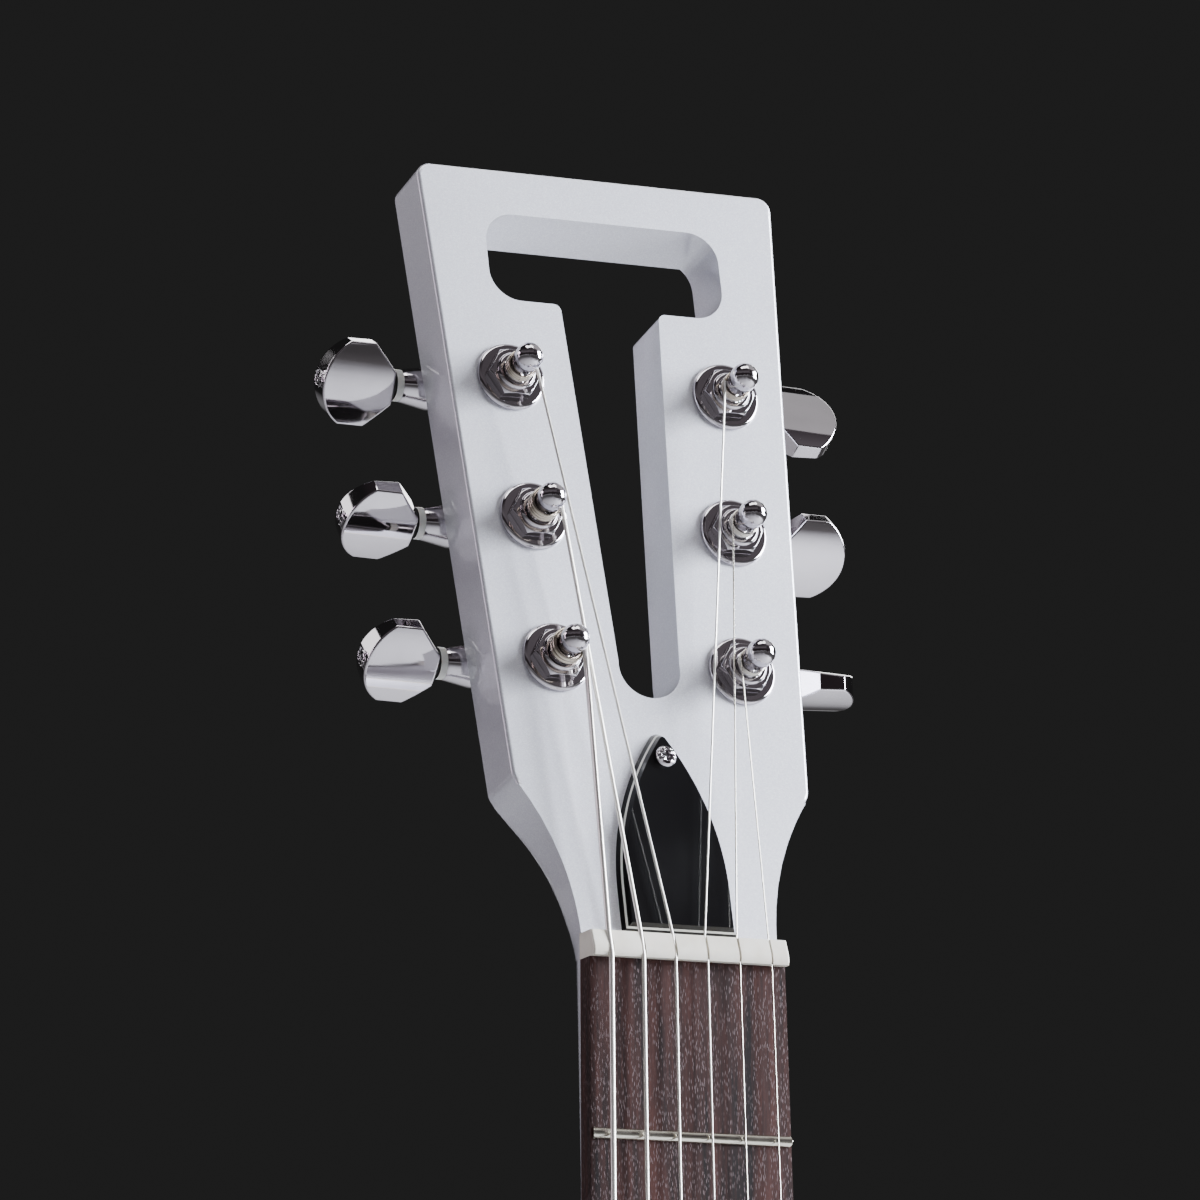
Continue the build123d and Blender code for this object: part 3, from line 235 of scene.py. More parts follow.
class Effects:
    """The node groups that several finishes share."""

    def __init__(self) -> None:
        """Build each group once."""
        self.handled = self._handled()
        self.wood = self._wood()
        self.brushed = self._brushed()

    @staticmethod
    def _handled() -> Group:
        """Faint uneven polish, fine scratches and a slow waviness, as on handled gloss surfaces."""
        group = Group(
            "handled_gloss",
            {"Roughness": 0.08, "Smudge": 0.06, "Smudge Size": 60.0, "Ripple": 0.2, "Ripple Size": 90.0},
            {"Roughness": "Float", "Normal": "Vector", "Mask": "Float"},
        )
        n, enter = group.nodes, group.enter
        spot = n.add("TexCoord").outputs["Object"]
        cloud = n.add("TexNoise", {"Vector": spot, "Scale": enter["Smudge Size"], "Detail": 4.0}).outputs[0]
        mask = n.ramp(cloud, [(0.42, (0, 0, 0, 1)), (0.68, (1, 1, 1, 1))])
        rough = n.math("MULTIPLY_ADD", mask, enter["Smudge"])
        n.tree.links.new(enter["Roughness"], rough.node.inputs[2])
        wave = n.add("TexNoise", {"Vector": spot, "Scale": enter["Ripple Size"], "Detail": 1.0}).outputs[0]
        bump = n.add("Bump", {"Height": wave, "Strength": enter["Ripple"], "Distance": 0.3 * MM}).outputs[0]
        group.give("Roughness", rough)
        group.give("Normal", bump)
        group.give("Mask", mask)
        return group

    @staticmethod
    def _wood() -> Group:
        """Straight grain along Z, with darker streaks and open pores."""
        group = Group(
            "straight_grain",
            {
                "Dark": (0.03, 0.015, 0.012, 1.0),
                "Light": (0.12, 0.06, 0.045, 1.0),
                "Pore": (0.01, 0.006, 0.005, 1.0),
                "Grain": 260.0,
                "Pore Count": 3400.0,
                "Pores": 1.0,
                "Relief": 0.4,
            },
            {"Color": "Color", "Normal": "Vector", "Pores": "Float"},
        )
        n, enter = group.nodes, group.enter
        along = n.place((1.0, 1.0, 0.06))
        fine = n.add("TexNoise", {"Vector": along, "Scale": enter["Grain"], "Detail": 6.0, "Roughness": 0.7})
        broad = n.add("TexNoise", {"Vector": along, "Scale": 90.0, "Detail": 4.0, "Distortion": 0.6})
        streak = n.math("MULTIPLY_ADD", fine.outputs[0], 0.6)
        n.tree.links.new(n.math("MULTIPLY", broad.outputs[0], 0.45), streak.node.inputs[2])
        blend = n.ramp(streak, [(0.42, (0, 0, 0, 1)), (0.62, (1, 1, 1, 1))])
        colour = n.mix(blend, enter["Dark"], enter["Light"])
        dashes = n.place((1.0, 1.0, 0.2), (0.0, 0.0, 0.3))
        cell = n.add("TexVoronoi", {"Vector": dashes, "Scale": enter["Pore Count"], "Randomness": 1.0})
        drift = n.noise(along, 500.0, 3.0)
        keep = n.ramp(drift, [(0.36, (0.1, 0.1, 0.1, 1)), (0.54, (1, 1, 1, 1))])
        pit = n.ramp(cell.outputs["Distance"], [(0.18, (1, 1, 1, 1)), (0.38, (0, 0, 0, 1))])
        pores = n.math("MULTIPLY", n.math("MULTIPLY", pit, keep), enter["Pores"])
        shade = n.mix(pores, colour, enter["Pore"])
        depth = n.math("SUBTRACT", n.math("MULTIPLY", fine.outputs[0], 0.3), pores)
        bump = n.add("Bump", {"Height": depth, "Strength": enter["Relief"], "Distance": 0.1 * MM})
        group.give("Color", shade)
        group.give("Normal", bump.outputs[0])
        group.give("Pores", pores)
        return group

    @staticmethod
    def _brushed() -> Group:
        """Fine machining marks: thin rings or lines across one direction."""
        group = Group(
            "machined",
            {"Roughness": 0.3, "Marks": 0.12, "Size": 2600.0, "Relief": 0.15},
            {"Roughness": "Float", "Normal": "Vector"},
        )
        n, enter = group.nodes, group.enter
        line = n.place((1.0, 1.0, 0.03))
        lines = n.add("TexNoise", {"Vector": line, "Scale": enter["Size"], "Detail": 2.0}).outputs[0]
        rough = n.math("MULTIPLY_ADD", lines, enter["Marks"])
        n.tree.links.new(enter["Roughness"], rough.node.inputs[2])
        bump = n.add("Bump", {"Height": lines, "Strength": enter["Relief"], "Distance": 0.05 * MM}).outputs[0]
        group.give("Roughness", rough)
        group.give("Normal", bump)
        return group


# ---- finishes -----------------------------------------------------------------------------------
class FinishBook:
    """Makes each finish once and hands out its material."""

    def __init__(self) -> None:
        """Start with the shared effects and no materials."""
        self.effects = Effects()
        self.made: dict[str, bpy.types.Material] = {}

    def material(self, finish: "Finish") -> bpy.types.Material:
        """The finish's material, made when it is first asked for."""
        if finish.name not in self.made:
            material = bpy.data.materials.new(finish.name)
            material.use_nodes = True
            nodes = NodeTree(material.node_tree)
            shader = nodes.add("BsdfPrincipled")
            out = nodes.add("OutputMaterial")
            nodes.tree.links.new(shader.outputs[0], out.inputs[0])
            finish.paint(nodes, shader, self.effects)
            self.made[finish.name] = material
        return self.made[finish.name]


@dataclass(frozen=True)
class Finish:
    """Base of every finish: a name, and a method that fills the shader."""

    name: str

    def paint(self, nodes: NodeTree, shader: bpy.types.Node, effects: Effects) -> None:
        """Fill the Principled shader.

        Args:
            nodes: The material's node tree.
            shader: Its Principled shader.
            effects: The shared node groups.
        """
        raise NotImplementedError

    @staticmethod
    def use(nodes: NodeTree, group: Group, **values: object) -> bpy.types.Node:
        """Place a shared group with this finish's own values; underscores stand for spaces."""
        node = nodes.tree.nodes.new("ShaderNodeGroup")
        node.node_tree = group.tree
        for label, value in values.items():
            node.inputs[label.replace("_", " ")].default_value = value
        return node

    @staticmethod
    def wire(nodes: NodeTree, shader: bpy.types.Node, **sockets: Socket) -> None:
        """Link sockets to the shader; underscores stand for spaces."""
        for label, socket in sockets.items():
            nodes.tree.links.new(socket, shader.inputs[label.replace("_", " ")])


@dataclass(frozen=True)
class MetallicLacquer(Finish):
    """Silver paint with fine metal flake under a clear gloss coat."""

    colour: Colour = rgb(0.87, 0.872, 0.905)
    shade: Colour = rgb(0.82, 0.815, 0.855)
    metallic: float = 0.45
    roughness: float = 0.42
    flake_size: float = 5200.0

    def paint(self, nodes: NodeTree, shader: bpy.types.Node, effects: Effects) -> None:
        """Flake in the colour and the normal, slow unevenness under the coat."""
        spot = nodes.add("TexCoord").outputs["Object"]
        flake = nodes.add("TexVoronoi", {"Vector": spot, "Scale": self.flake_size}, feature="F1")
        grey = nodes.add("SeparateColor", {0: flake.outputs["Color"]}).outputs[0]
        glint = nodes.ramp(grey, [(0.0, self.shade), (0.8, self.colour), (1.0, rgb(0.91, 0.915, 0.93))])
        tilt = nodes.bump(grey, 0.06, 0.03 * MM)
        peel = nodes.noise(spot, 420.0, 1.0)
        normal = nodes.bump(peel, 0.03, 0.08 * MM, below=tilt)
        rough = nodes.spread(nodes.noise(spot, 35.0, 3.0), self.roughness - 0.04, self.roughness + 0.05)
        self.wire(nodes, shader, Base_Color=glint, Roughness=rough, Normal=normal)
        shader.inputs["Metallic"].default_value = self.metallic
        shader.inputs["Coat Weight"].default_value = 1.0
        shader.inputs["Coat Roughness"].default_value = 0.045
        shader.inputs["Coat IOR"].default_value = 1.5


@dataclass(frozen=True)
class PolishedMetal(Finish):
    """Plated or polished metal with faint handling marks."""

    colour: Colour = rgb(0.77, 0.75, 0.77)
    roughness: float = 0.045
    smudge: float = 0.06
    ripple: float = 0.04

    def paint(self, nodes: NodeTree, shader: bpy.types.Node, effects: Effects) -> None:
        """A bright metal with an uneven polish."""
        values = {"Roughness": self.roughness, "Smudge": self.smudge, "Ripple": self.ripple}
        marks = self.use(nodes, effects.handled, **values)
        dull = tuple(c * 0.86 for c in self.colour[:3]) + (1.0,)
        tone = nodes.mix(marks.outputs["Mask"], self.colour, dull)
        self.wire(nodes, shader, Base_Color=tone, Roughness=marks.outputs["Roughness"])
        self.wire(nodes, shader, Normal=marks.outputs["Normal"])
        shader.inputs["Metallic"].default_value = 1.0


@dataclass(frozen=True)
class MachinedMetal(Finish):
    """Bare metal with fine turning or drawing marks."""

    colour: Colour = rgb(0.72, 0.71, 0.70)
    roughness: float = 0.28
    marks: float = 0.14

    def paint(self, nodes: NodeTree, shader: bpy.types.Node, effects: Effects) -> None:
        """A metal whose roughness and normal carry the marks."""
        cut = self.use(nodes, effects.brushed, Roughness=self.roughness, Marks=self.marks)
        spot = nodes.add("TexCoord").outputs["Object"]
        dull = tuple(c * 0.78 for c in self.colour[:3]) + (1.0,)
        tone = nodes.mix(nodes.noise(spot, 140.0, 3.0), self.colour, dull)
        rough, normal = cut.outputs["Roughness"], cut.outputs["Normal"]
        self.wire(nodes, shader, Base_Color=tone, Roughness=rough, Normal=normal)
        shader.inputs["Metallic"].default_value = 1.0


@dataclass(frozen=True)
class Timber(Finish):
    """Straight-grained wood."""

    dark: Colour = rgb(0.075, 0.045, 0.05)
    light: Colour = rgb(0.25, 0.14, 0.125)
    pore: Colour = rgb(0.40, 0.33, 0.34)
    grain: float = 420.0
    pores: float = 0.8
    roughness: float = 0.5
    gloss: float = 0.15

    def paint(self, nodes: NodeTree, shader: bpy.types.Node, effects: Effects) -> None:
        """Grain colour, pores and their relief."""
        values = {"Dark": self.dark, "Light": self.light, "Pore": self.pore, "Grain": self.grain}
        wood = self.use(nodes, effects.wood, Pores=self.pores, Relief=0.5, **values)
        rough = nodes.spread(wood.outputs["Pores"], self.roughness, min(self.roughness + 0.25, 1.0))
        tone, normal = wood.outputs["Color"], wood.outputs["Normal"]
        self.wire(nodes, shader, Base_Color=tone, Normal=normal, Roughness=rough)
        shader.inputs["Specular IOR Level"].default_value = self.gloss


@dataclass(frozen=True)
class Moulded(Finish):
    """Plastic, bone or rubber: an even colour with faint mottling and handling marks."""

    colour: Colour = rgb(0.9, 0.88, 0.84)
    mottle: Colour = rgb(0.84, 0.81, 0.76)
    mottle_size: float = 220.0
    roughness: float = 0.32
    smudge: float = 0.12
    scatter: float = 0.0

    def paint(self, nodes: NodeTree, shader: bpy.types.Node, effects: Effects) -> None:
        """Mottled colour and an uneven polish."""
        marks = self.use(nodes, effects.handled, Roughness=self.roughness, Smudge=self.smudge, Ripple=0.05)
        spot = nodes.add("TexCoord").outputs["Object"]
        blotch = nodes.noise(spot, self.mottle_size, 4.0)
        cloud = nodes.ramp(blotch, [(0.35, self.colour), (0.75, self.mottle)])
        self.wire(nodes, shader, Base_Color=cloud, Roughness=marks.outputs["Roughness"])
        self.wire(nodes, shader, Normal=marks.outputs["Normal"])
        shader.inputs["Subsurface Weight"].default_value = self.scatter
        shader.inputs["Subsurface Radius"].default_value = (1.0 * MM, 0.8 * MM, 0.6 * MM)


@dataclass(frozen=True)
class LayeredPlate(Finish):
    """Black, white and black laminate: the white layer shows on the bevel, by height above the face."""

    origin: tuple[float, float, float] = (0.0, 0.0, 0.0)
    normal: tuple[float, float, float] = (0.0, -1.0, 0.0)
    line: tuple[float, float] = (1.0 * MM, 1.45 * MM)
    black: Colour = rgb(0.045, 0.045, 0.05)
    white: Colour = rgb(0.9, 0.9, 0.88)

    def paint(self, nodes: NodeTree, shader: bpy.types.Node, effects: Effects) -> None:
        """White between two heights along the plate's normal, black elsewhere."""
        spot = nodes.add("TexCoord").outputs["Object"]
        offset = nodes.add("VectorMath", {0: spot, 1: self.origin}, operation="SUBTRACT").outputs[0]
        level = nodes.add("VectorMath", {0: offset, 1: self.normal}, operation="DOT_PRODUCT")
        height = level.outputs["Value"]
        above = nodes.math("GREATER_THAN", height, self.line[0])
        below = nodes.math("LESS_THAN", height, self.line[1])
        tone = nodes.mix(nodes.math("MULTIPLY", above, below), self.black, self.white)
        marks = self.use(nodes, effects.handled, Roughness=0.10, Smudge=0.10, Smudge_Size=45.0, Ripple=0.03)
        self.wire(nodes, shader, Base_Color=tone, Roughness=marks.outputs["Roughness"])
        self.wire(nodes, shader, Normal=marks.outputs["Normal"])


@dataclass(frozen=True)
class WoundWire(Finish):
    """A fine wire laid round a core, placed by the "run" attribute: the length along the string."""

    colour: Colour = rgb(0.93, 0.915, 0.89)
    pitch: float = 0.34 * MM
    relief: float = 0.25
    roughness: float = 0.30
    metallic: float = 0.65

    def paint(self, nodes: NodeTree, shader: bpy.types.Node, effects: Effects) -> None:
        """Ridges across the string at the winding's pitch, with painted shade in the grooves between the
        turns, and an uneven roughness.
        """
        run = nodes.add("Attribute", attribute_name="run").outputs["Fac"]
        turn = nodes.math("MULTIPLY", run, 2 * math.pi / self.pitch)
        ridge = nodes.spread(nodes.math("SINE", turn), 0.5, 1.0)
        normal = nodes.bump(ridge, self.relief, 0.05 * MM)
        # painted shade: the colour drops to 72 per cent in the grooves between the wire's turns, following the
        # ridges
        dark = tuple(c * 0.72 for c in self.colour[:3]) + (1.0,)
        tone = nodes.mix(ridge, dark, self.colour)
        spot = nodes.add("TexCoord").outputs["Object"]
        rough = nodes.spread(nodes.noise(spot, 90.0, 3.0), self.roughness - 0.06, self.roughness + 0.1)
        self.wire(nodes, shader, Base_Color=tone, Normal=normal, Roughness=rough)
        shader.inputs["Metallic"].default_value = self.metallic


class Look(Enum):
    """Every finish on the guitar."""

    LACQUER = MetallicLacquer("silver_lacquer")
    CHROME = PolishedMetal("chrome_plate")
    NICKEL = PolishedMetal("nickel_fret", colour=rgb(0.84, 0.82, 0.77), roughness=0.12, smudge=0.1)
    STEEL = MachinedMetal("machined_steel")
    ALUMINIUM = MachinedMetal("spun_aluminium", colour=rgb(0.86, 0.86, 0.87), roughness=0.24)
    ROSEWOOD = Timber("oiled_rosewood")
    BARE_WOOD = Timber(
        "bare_plywood", dark=rgb(0.66, 0.5, 0.33), light=rgb(0.83, 0.69, 0.5), pore=rgb(0.5, 0.36, 0.22),
        pores=0.4, roughness=0.7,
    )
    MAPLE = Timber(
        "bare_maple", dark=rgb(0.74, 0.6, 0.42), light=rgb(0.88, 0.77, 0.6), pore=rgb(0.55, 0.42, 0.28),
        pores=0.2, roughness=0.55,
    )
    BONE = Moulded("nut_bone", scatter=0.15)
    CREAM = Moulded(
        "cream_binding", colour=rgb(0.89, 0.85, 0.75), mottle=rgb(0.85, 0.8, 0.69), roughness=0.18
    )
    PEARL = Moulded(
        "pearl", colour=rgb(0.88, 0.89, 0.87), mottle=rgb(0.70, 0.74, 0.73), mottle_size=500.0, roughness=0.12
    )
    NYLON = Moulded(
        "nylon", colour=rgb(0.86, 0.86, 0.84), mottle=rgb(0.8, 0.8, 0.78), roughness=0.4, scatter=0.3
    )
    BLACK_RING = Moulded(
        "black_ring", colour=rgb(0.06, 0.06, 0.06), mottle=rgb(0.09, 0.09, 0.09), roughness=0.45
    )
    BLACK_MESH = Moulded(
        "black_enamel", colour=rgb(0.07, 0.07, 0.075), mottle=rgb(0.1, 0.1, 0.1), roughness=0.35
    )
    WOUND = WoundWire("wound_string")
    COIL = WoundWire("wound_coil", colour=rgb(0.78, 0.74, 0.68), relief=0.1, roughness=0.2, metallic=1.0)
    PLAIN = PolishedMetal("plain_string", colour=rgb(0.86, 0.84, 0.80), roughness=0.16, smudge=0.1)


# ---- bench: modelling helpers -------------------------------------------------------------------
class Bench:
    """Modelling steps on Blender's own operators, and the dressing of finished pieces."""

    def __init__(self, finishes: FinishBook) -> None:
        """Keep the finishes.

        Args:
            finishes: Where the materials come from.
        """
        self.finishes = finishes

    @staticmethod
    def clear() -> None:
        """Leave edit mode and select nothing."""
        if bpy.context.object is not None and bpy.context.object.mode != "OBJECT":
            bpy.ops.object.mode_set(mode="OBJECT")
        bpy.ops.object.select_all(action="DESELECT")

    def choose(self, piece: bpy.types.Object) -> None:
        """Make a piece the only selected and active one."""
        self.clear()
        piece.select_set(True)
        bpy.context.view_layer.objects.active = piece

    def bevelled(self, piece: bpy.types.Object, width: float, segments: int = 2, angle: float = 25.0) -> None:
        """Round a piece's edges that are sharper than an angle, and apply it."""
        self.choose(piece)
        bevel = piece.modifiers.new("soft_edges", "BEVEL")
        bevel.width, bevel.segments = width * MM, segments
        bevel.limit_method, bevel.angle_limit = "ANGLE", math.radians(angle)
        bevel.harden_normals = False
        bpy.ops.object.modifier_apply(modifier=bevel.name)

    def smoothed(self, piece: bpy.types.Object, angle: float = 30.0, weighted: bool = True) -> None:
        """Shade a piece smooth up to an angle, with flat faces kept flat."""
        self.choose(piece)
        bpy.ops.object.shade_smooth_by_angle(angle=math.radians(angle))
        if weighted:
            even = piece.modifiers.new("even_normals", "WEIGHTED_NORMAL")
            even.keep_sharp, even.weight = True, 60
            bpy.ops.object.modifier_apply(modifier=even.name)

    def settled(self, piece: bpy.types.Object, place: Matrix) -> None:
        """Put a piece's mesh where it belongs and leave its object at the origin."""
        piece.data.transform(place @ piece.matrix_world)
        piece.matrix_world = Matrix.Identity(4)
        if place.determinant() < 0:
            piece.data.flip_normals()

    def joined(self, name: str, pieces: Sequence[bpy.types.Object]) -> bpy.types.Object:
        """Join pieces into one and name it."""
        self.clear()
        for piece in pieces:
            piece.select_set(True)
        bpy.context.view_layer.objects.active = pieces[0]
        if len(pieces) > 1:
            bpy.ops.object.join()
        pieces[0].name = pieces[0].data.name = name
        return pieces[0]

    def dressed(self, piece: bpy.types.Object, look: Look | Finish) -> bpy.types.Object:
        """Give a piece one finish."""
        finish = look.value if isinstance(look, Look) else look
        piece.data.materials.clear()
        piece.data.materials.append(self.finishes.material(finish))
        return piece

    def copied(self, node: str, name: str = "") -> bpy.types.Object:
        """A loose copy of a part of the frame, its corners merged and its flat faces made whole.

        Args:
            node: The part's name.
            name: The copy's name; the part's own with "_shown" when it is left out.

        Returns:
            The copy, with no finish yet.
        """
        piece = bpy.data.objects.new(name or node + "_shown", bpy.data.objects[node].data.copy())
        piece.data.materials.clear()
        bpy.context.scene.collection.objects.link(piece)
        self.choose(piece)
        bpy.ops.object.mode_set(mode="EDIT")
        bpy.ops.mesh.select_all(action="SELECT")
        bpy.ops.mesh.remove_doubles(threshold=0.002 * MM)
        bpy.ops.mesh.dissolve_limited(angle_limit=math.radians(FLAT))
        bpy.ops.object.mode_set(mode="OBJECT")
        return piece

    def refined(
        self, node: str, look: Look | Finish, angle: float = 30.0, edge: float = 0.0
    ) -> bpy.types.Object:
        """A smooth-shaded copy of a part of the frame, which stands for it.

        Args:
            node: The part's name.
            look: Its finish.
            angle: Edges sharper than this stay sharp, in degrees.
            edge: Width of the rounding on its sharp edges, in millimetres; 0 for none.

        Returns:
            The new piece, riding on the part's own body.
        """
        piece = self.copied(node)
        if edge > 0.0:
            self.bevelled(piece, edge, segments=2, angle=angle)
        self.smoothed(piece, angle)
        self.dressed(piece, look)
        self.installed(piece, node)
        return piece

    def loose(self, piece: bpy.types.Object) -> list[bpy.types.Object]:
        """Separate a piece into its loose parts."""
        self.choose(piece)
        bpy.ops.mesh.separate(type="LOOSE")
        return list(bpy.context.selected_objects)

    @staticmethod
    def installed(piece: bpy.types.Object, node: str) -> None:
        """Let a finished piece ride on a part's body and stand for that part."""
        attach(piece, bpy.data.objects[node]["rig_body"])
        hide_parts(node)
        LOG.info("%s stands for %s, %d faces", piece.name, node, len(piece.data.polygons))

    @staticmethod
    def measured(piece: bpy.types.Object, run: Callable[[Vector], float]) -> None:
        """Write a "run" value on each corner, which the wound wire finish reads."""
        values = [run(vertex.co) for vertex in piece.data.vertices]
        piece.data.attributes.new("run", "FLOAT", "POINT").data.foreach_set("value", values)


# ---- studio -------------------------------------------------------------------------------------
@dataclass
class Softbox:
    """One large soft light aimed at a point."""

    name: str
    azimuth: float
    elevation: float
    distance: float
    size: tuple[float, float]
    power: float
    colour: tuple[float, float, float] = (1.0, 1.0, 1.0)

    def build(self, target: Vector) -> bpy.types.Object:
        """Make the light.

        Args:
            target: The point that it faces.

        Returns:
            The light's object.
        """
        light = bpy.data.lights.new(self.name, "AREA")
        light.shape, light.size, light.size_y = "RECTANGLE", self.size[0], self.size[1]
        light.energy, light.color = self.power, self.colour
        lamp = bpy.data.objects.new(self.name, light)
        bpy.context.scene.collection.objects.link(lamp)
        lamp.location = target + direction(self.azimuth, self.elevation) * self.distance
        lamp.rotation_euler = (lamp.location - target).to_track_quat("Z", "Y").to_euler()
        return lamp


def direction(azimuth: float, elevation: float) -> Vector:
    """The unit vector from the object to a viewer; azimuth 0 stands in front, at -Y, and 90 at +X."""
    a, e = math.radians(azimuth), math.radians(elevation)
    return Vector((math.sin(a) * math.cos(e), -math.cos(a) * math.cos(e), math.sin(e)))


@dataclass
class Studio:
    """Floor, surroundings, lights and camera."""

    view_azimuth: float = -24.13
    view_elevation: float = -12.70
    view_roll: float = -1.02
    view_distance: float = 1.4232
    lens: float = 211.4
    aim: Vector = field(default_factory=lambda: Vector((-18.0, -12.0, 52.98)) * MM)
    floor_size: float = 90.0
    floor_gap: float = 0.5 * MM
    backdrop: Colour = (0.0165, 0.0165, 0.0165, 1.0)
    room: Colour = (0.34, 0.31, 0.335, 1.0)
    shadow: Colour = (0.042, 0.030, 0.036, 1.0)
    horizon: Colour = (0.34, 0.34, 0.35, 1.0)

    def build(self, low: Vector) -> None:
        """Make everything around the guitar.

        Args:
            low: The lowest corner of the guitar's box.
        """
        self._camera()
        self._floor(low.z - self.floor_gap)
        self._surroundings()
        self._lights()

    def _camera(self) -> None:
        """The camera below and to the left of the headstock, looking up at it."""
        camera = bpy.data.cameras.new("view")
        camera.lens, camera.sensor_width = self.lens, 36.0
        camera.clip_start, camera.clip_end = 0.05, 400.0
        holder = bpy.data.objects.new("view", camera)
        bpy.context.scene.collection.objects.link(holder)
        back = direction(self.view_azimuth, self.view_elevation)
        right = (-back).cross(Vector((0, 0, 1))).normalized()
        up = right.cross(-back)
        roll = math.radians(self.view_roll)
        side = right * math.cos(roll) + up * math.sin(roll)
        top = up * math.cos(roll) - right * math.sin(roll)
        frame = Matrix((side, top, back)).transposed().to_4x4()
        holder.matrix_world = Matrix.Translation(self.aim + back * self.view_distance) @ frame
        bpy.context.scene.camera = holder

    def _floor(self, height: float) -> None:
        """A plain pale floor."""
        bpy.ops.mesh.primitive_plane_add(size=self.floor_size, location=(0, 0, height))
        floor = bpy.context.object
        floor.name = "floor"
        material = bpy.data.materials.new("pale_floor")
        material.use_nodes = True
        shader = material.node_tree.nodes["Principled BSDF"]
        shader.inputs["Base Color"].default_value = (0.56, 0.56, 0.56, 1.0)
        shader.inputs["Roughness"].default_value = 0.8
        floor.data.materials.append(material)
        floor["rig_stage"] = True

    def _surroundings(self) -> None:
        """Pale at the horizon and dark above, so that bright metal has something dark to reflect."""
        world = bpy.data.worlds.new("studio")
        bpy.context.scene.world = world
        world.use_nodes = True
        nodes = NodeTree(world.node_tree)
        spot = nodes.add("TexCoord").outputs["Generated"]
        parts = nodes.add("SeparateXYZ", {0: spot}).outputs
        band = [(0.10, self.shadow), (0.34, self.shadow), (0.46, self.room), (0.80, self.shadow)]
        warm = nodes.ramp(parts[2], band)
        front = nodes.ramp(nodes.spread(parts[1], 0.5, 1.0), [(0.40, (1, 1, 1, 1)), (0.60, (0, 0, 0, 1))])
        side = nodes.mix(front, self.backdrop, warm)
        low = nodes.ramp(parts[2], [(0.0, (1, 1, 1, 1)), (0.05, (0.85, 0.85, 0.85, 1)), (0.11, (0, 0, 0, 1))])
        tone = nodes.mix(low, side, self.horizon)
        glow = nodes.add("Background", {"Color": tone, "Strength": 1.0})
        out = nodes.add("OutputWorld")
        nodes.tree.links.new(glow.outputs[0], out.inputs[0])

    def _lights(self) -> None:
        """Large soft boxes around the headstock, and a broad soft light that keeps the floor even."""
        head = Vector((0.0, 0.02, 0.10))
        for box in (
            Softbox("key", 66.0, 13.0, 1.8, (0.8, 1.2), 185.0, (0.88, 0.93, 1.0)),
            Softbox("overhead", -12.0, 74.0, 2.2, (1.6, 0.8), 24.0),
            Softbox("left_strip", -112.0, 14.0, 2.4, (0.28, 1.4), 11.0, (1.0, 0.84, 1.0)),
            Softbox("back_left", 222.0, 30.0, 2.6, (0.8, 1.2), 9.0),
            Softbox("back_right", 140.0, 30.0, 2.6, (1.2, 1.6), 26.0),
        ):
            box.build(head)
        sun = bpy.data.lights.new("broad", "SUN")
        sun.energy, sun.angle = 0.35, math.radians(50.0)
        lamp = bpy.data.objects.new("broad", sun)
        bpy.context.scene.collection.objects.link(lamp)
        lamp.rotation_euler = direction(75.0, 58.0).to_track_quat("Z", "Y").to_euler()


# ---- guitar -------------------------------------------------------------------------------------
@dataclass
class Copies:
    """Parts of the frame whose shape is right: a smooth copy each, with its finish."""

    looks: dict[str, Look] = field(
        default_factory=lambda: {
            "neck": Look.LACQUER,
            "body_rim": Look.LACQUER,
            "body_top": Look.LACQUER,
            "body_back": Look.LACQUER,
            "body_bindings": Look.CREAM,
            "frets": Look.NICKEL,
            "nut": Look.BONE,
            "truss_cover_screw": Look.CHROME,
            "tuner_housings": Look.CHROME,
            "tuner_bushings": Look.CHROME,
            "tuner_washers": Look.CHROME,
            "tuner_ear_screws": Look.CHROME,
            "cover_plate": Look.CHROME,
            "hand_rest": Look.CHROME,
            "tailpiece": Look.CHROME,
            "strap_buttons": Look.CHROME,
            "tail_screws": Look.CHROME,
            "resonator_screws": Look.CHROME,
            "resonator_cone": Look.ALUMINIUM,
            "biscuit": Look.MAPLE,
            "saddle": Look.MAPLE,
            "soundhole_screens": Look.BLACK_MESH,
        }
    )
    plain: dict[str, Look] = field(
        default_factory=lambda: {
            "fretboard": Look.ROSEWOOD,
            "face_dots": Look.PEARL,
            "side_dots": Look.PEARL,
            "body_linings": Look.BARE_WOOD,
            "back_braces": Look.BARE_WOOD,
            "end_blocks": Look.BARE_WOOD,
            "soundwell": Look.BARE_WOOD,
            "truss_rod": Look.STEEL,
            "truss_rod_nut": Look.STEEL,
            "neck_bolts": Look.STEEL,
        }
    )

    edges: dict[str, float] = field(
        default_factory=lambda: {
            "nut": 0.18,
            "frets": 0.08,
            "tuner_housings": 0.2,
            "tuner_bushings": 0.1,
            "tuner_washers": 0.12,
            "tailpiece": 0.3,
            "saddle": 0.3,
        }
    )

    def build(self, bench: Bench) -> None:
        """Dress every part that is kept and copy every part that needs smooth shading."""
        for node, look in self.looks.items():
            bench.refined(node, look, edge=self.edges.get(node, 0.0))
        for node, look in self.plain.items():
            bench.dressed(bpy.data.objects[node], look)
        for number in range(1, 7):
            bench.refined(f"tuner_{number}_button", Look.CHROME)
            bench.refined(f"tuner_{number}_post", Look.CHROME)
            bench.refined(f"tuner_{number}_worm_shaft", Look.CHROME)


@dataclass
class RodCover:
    """The layered plate over the truss rod nut."""

    node: str = "truss_rod_cover"

    def build(self, bench: Bench, origin: Vector, normal: Vector) -> None:
        """Copy the plate and give it its three layers.

        Args:
            bench: The modelling helpers.
            origin: A point on the headstock's face.
            normal: The face's outward normal.
        """
        layers = LayeredPlate("three_ply_plate", origin=tuple(origin), normal=tuple(normal))
        bench.refined(self.node, layers, angle=20.0)


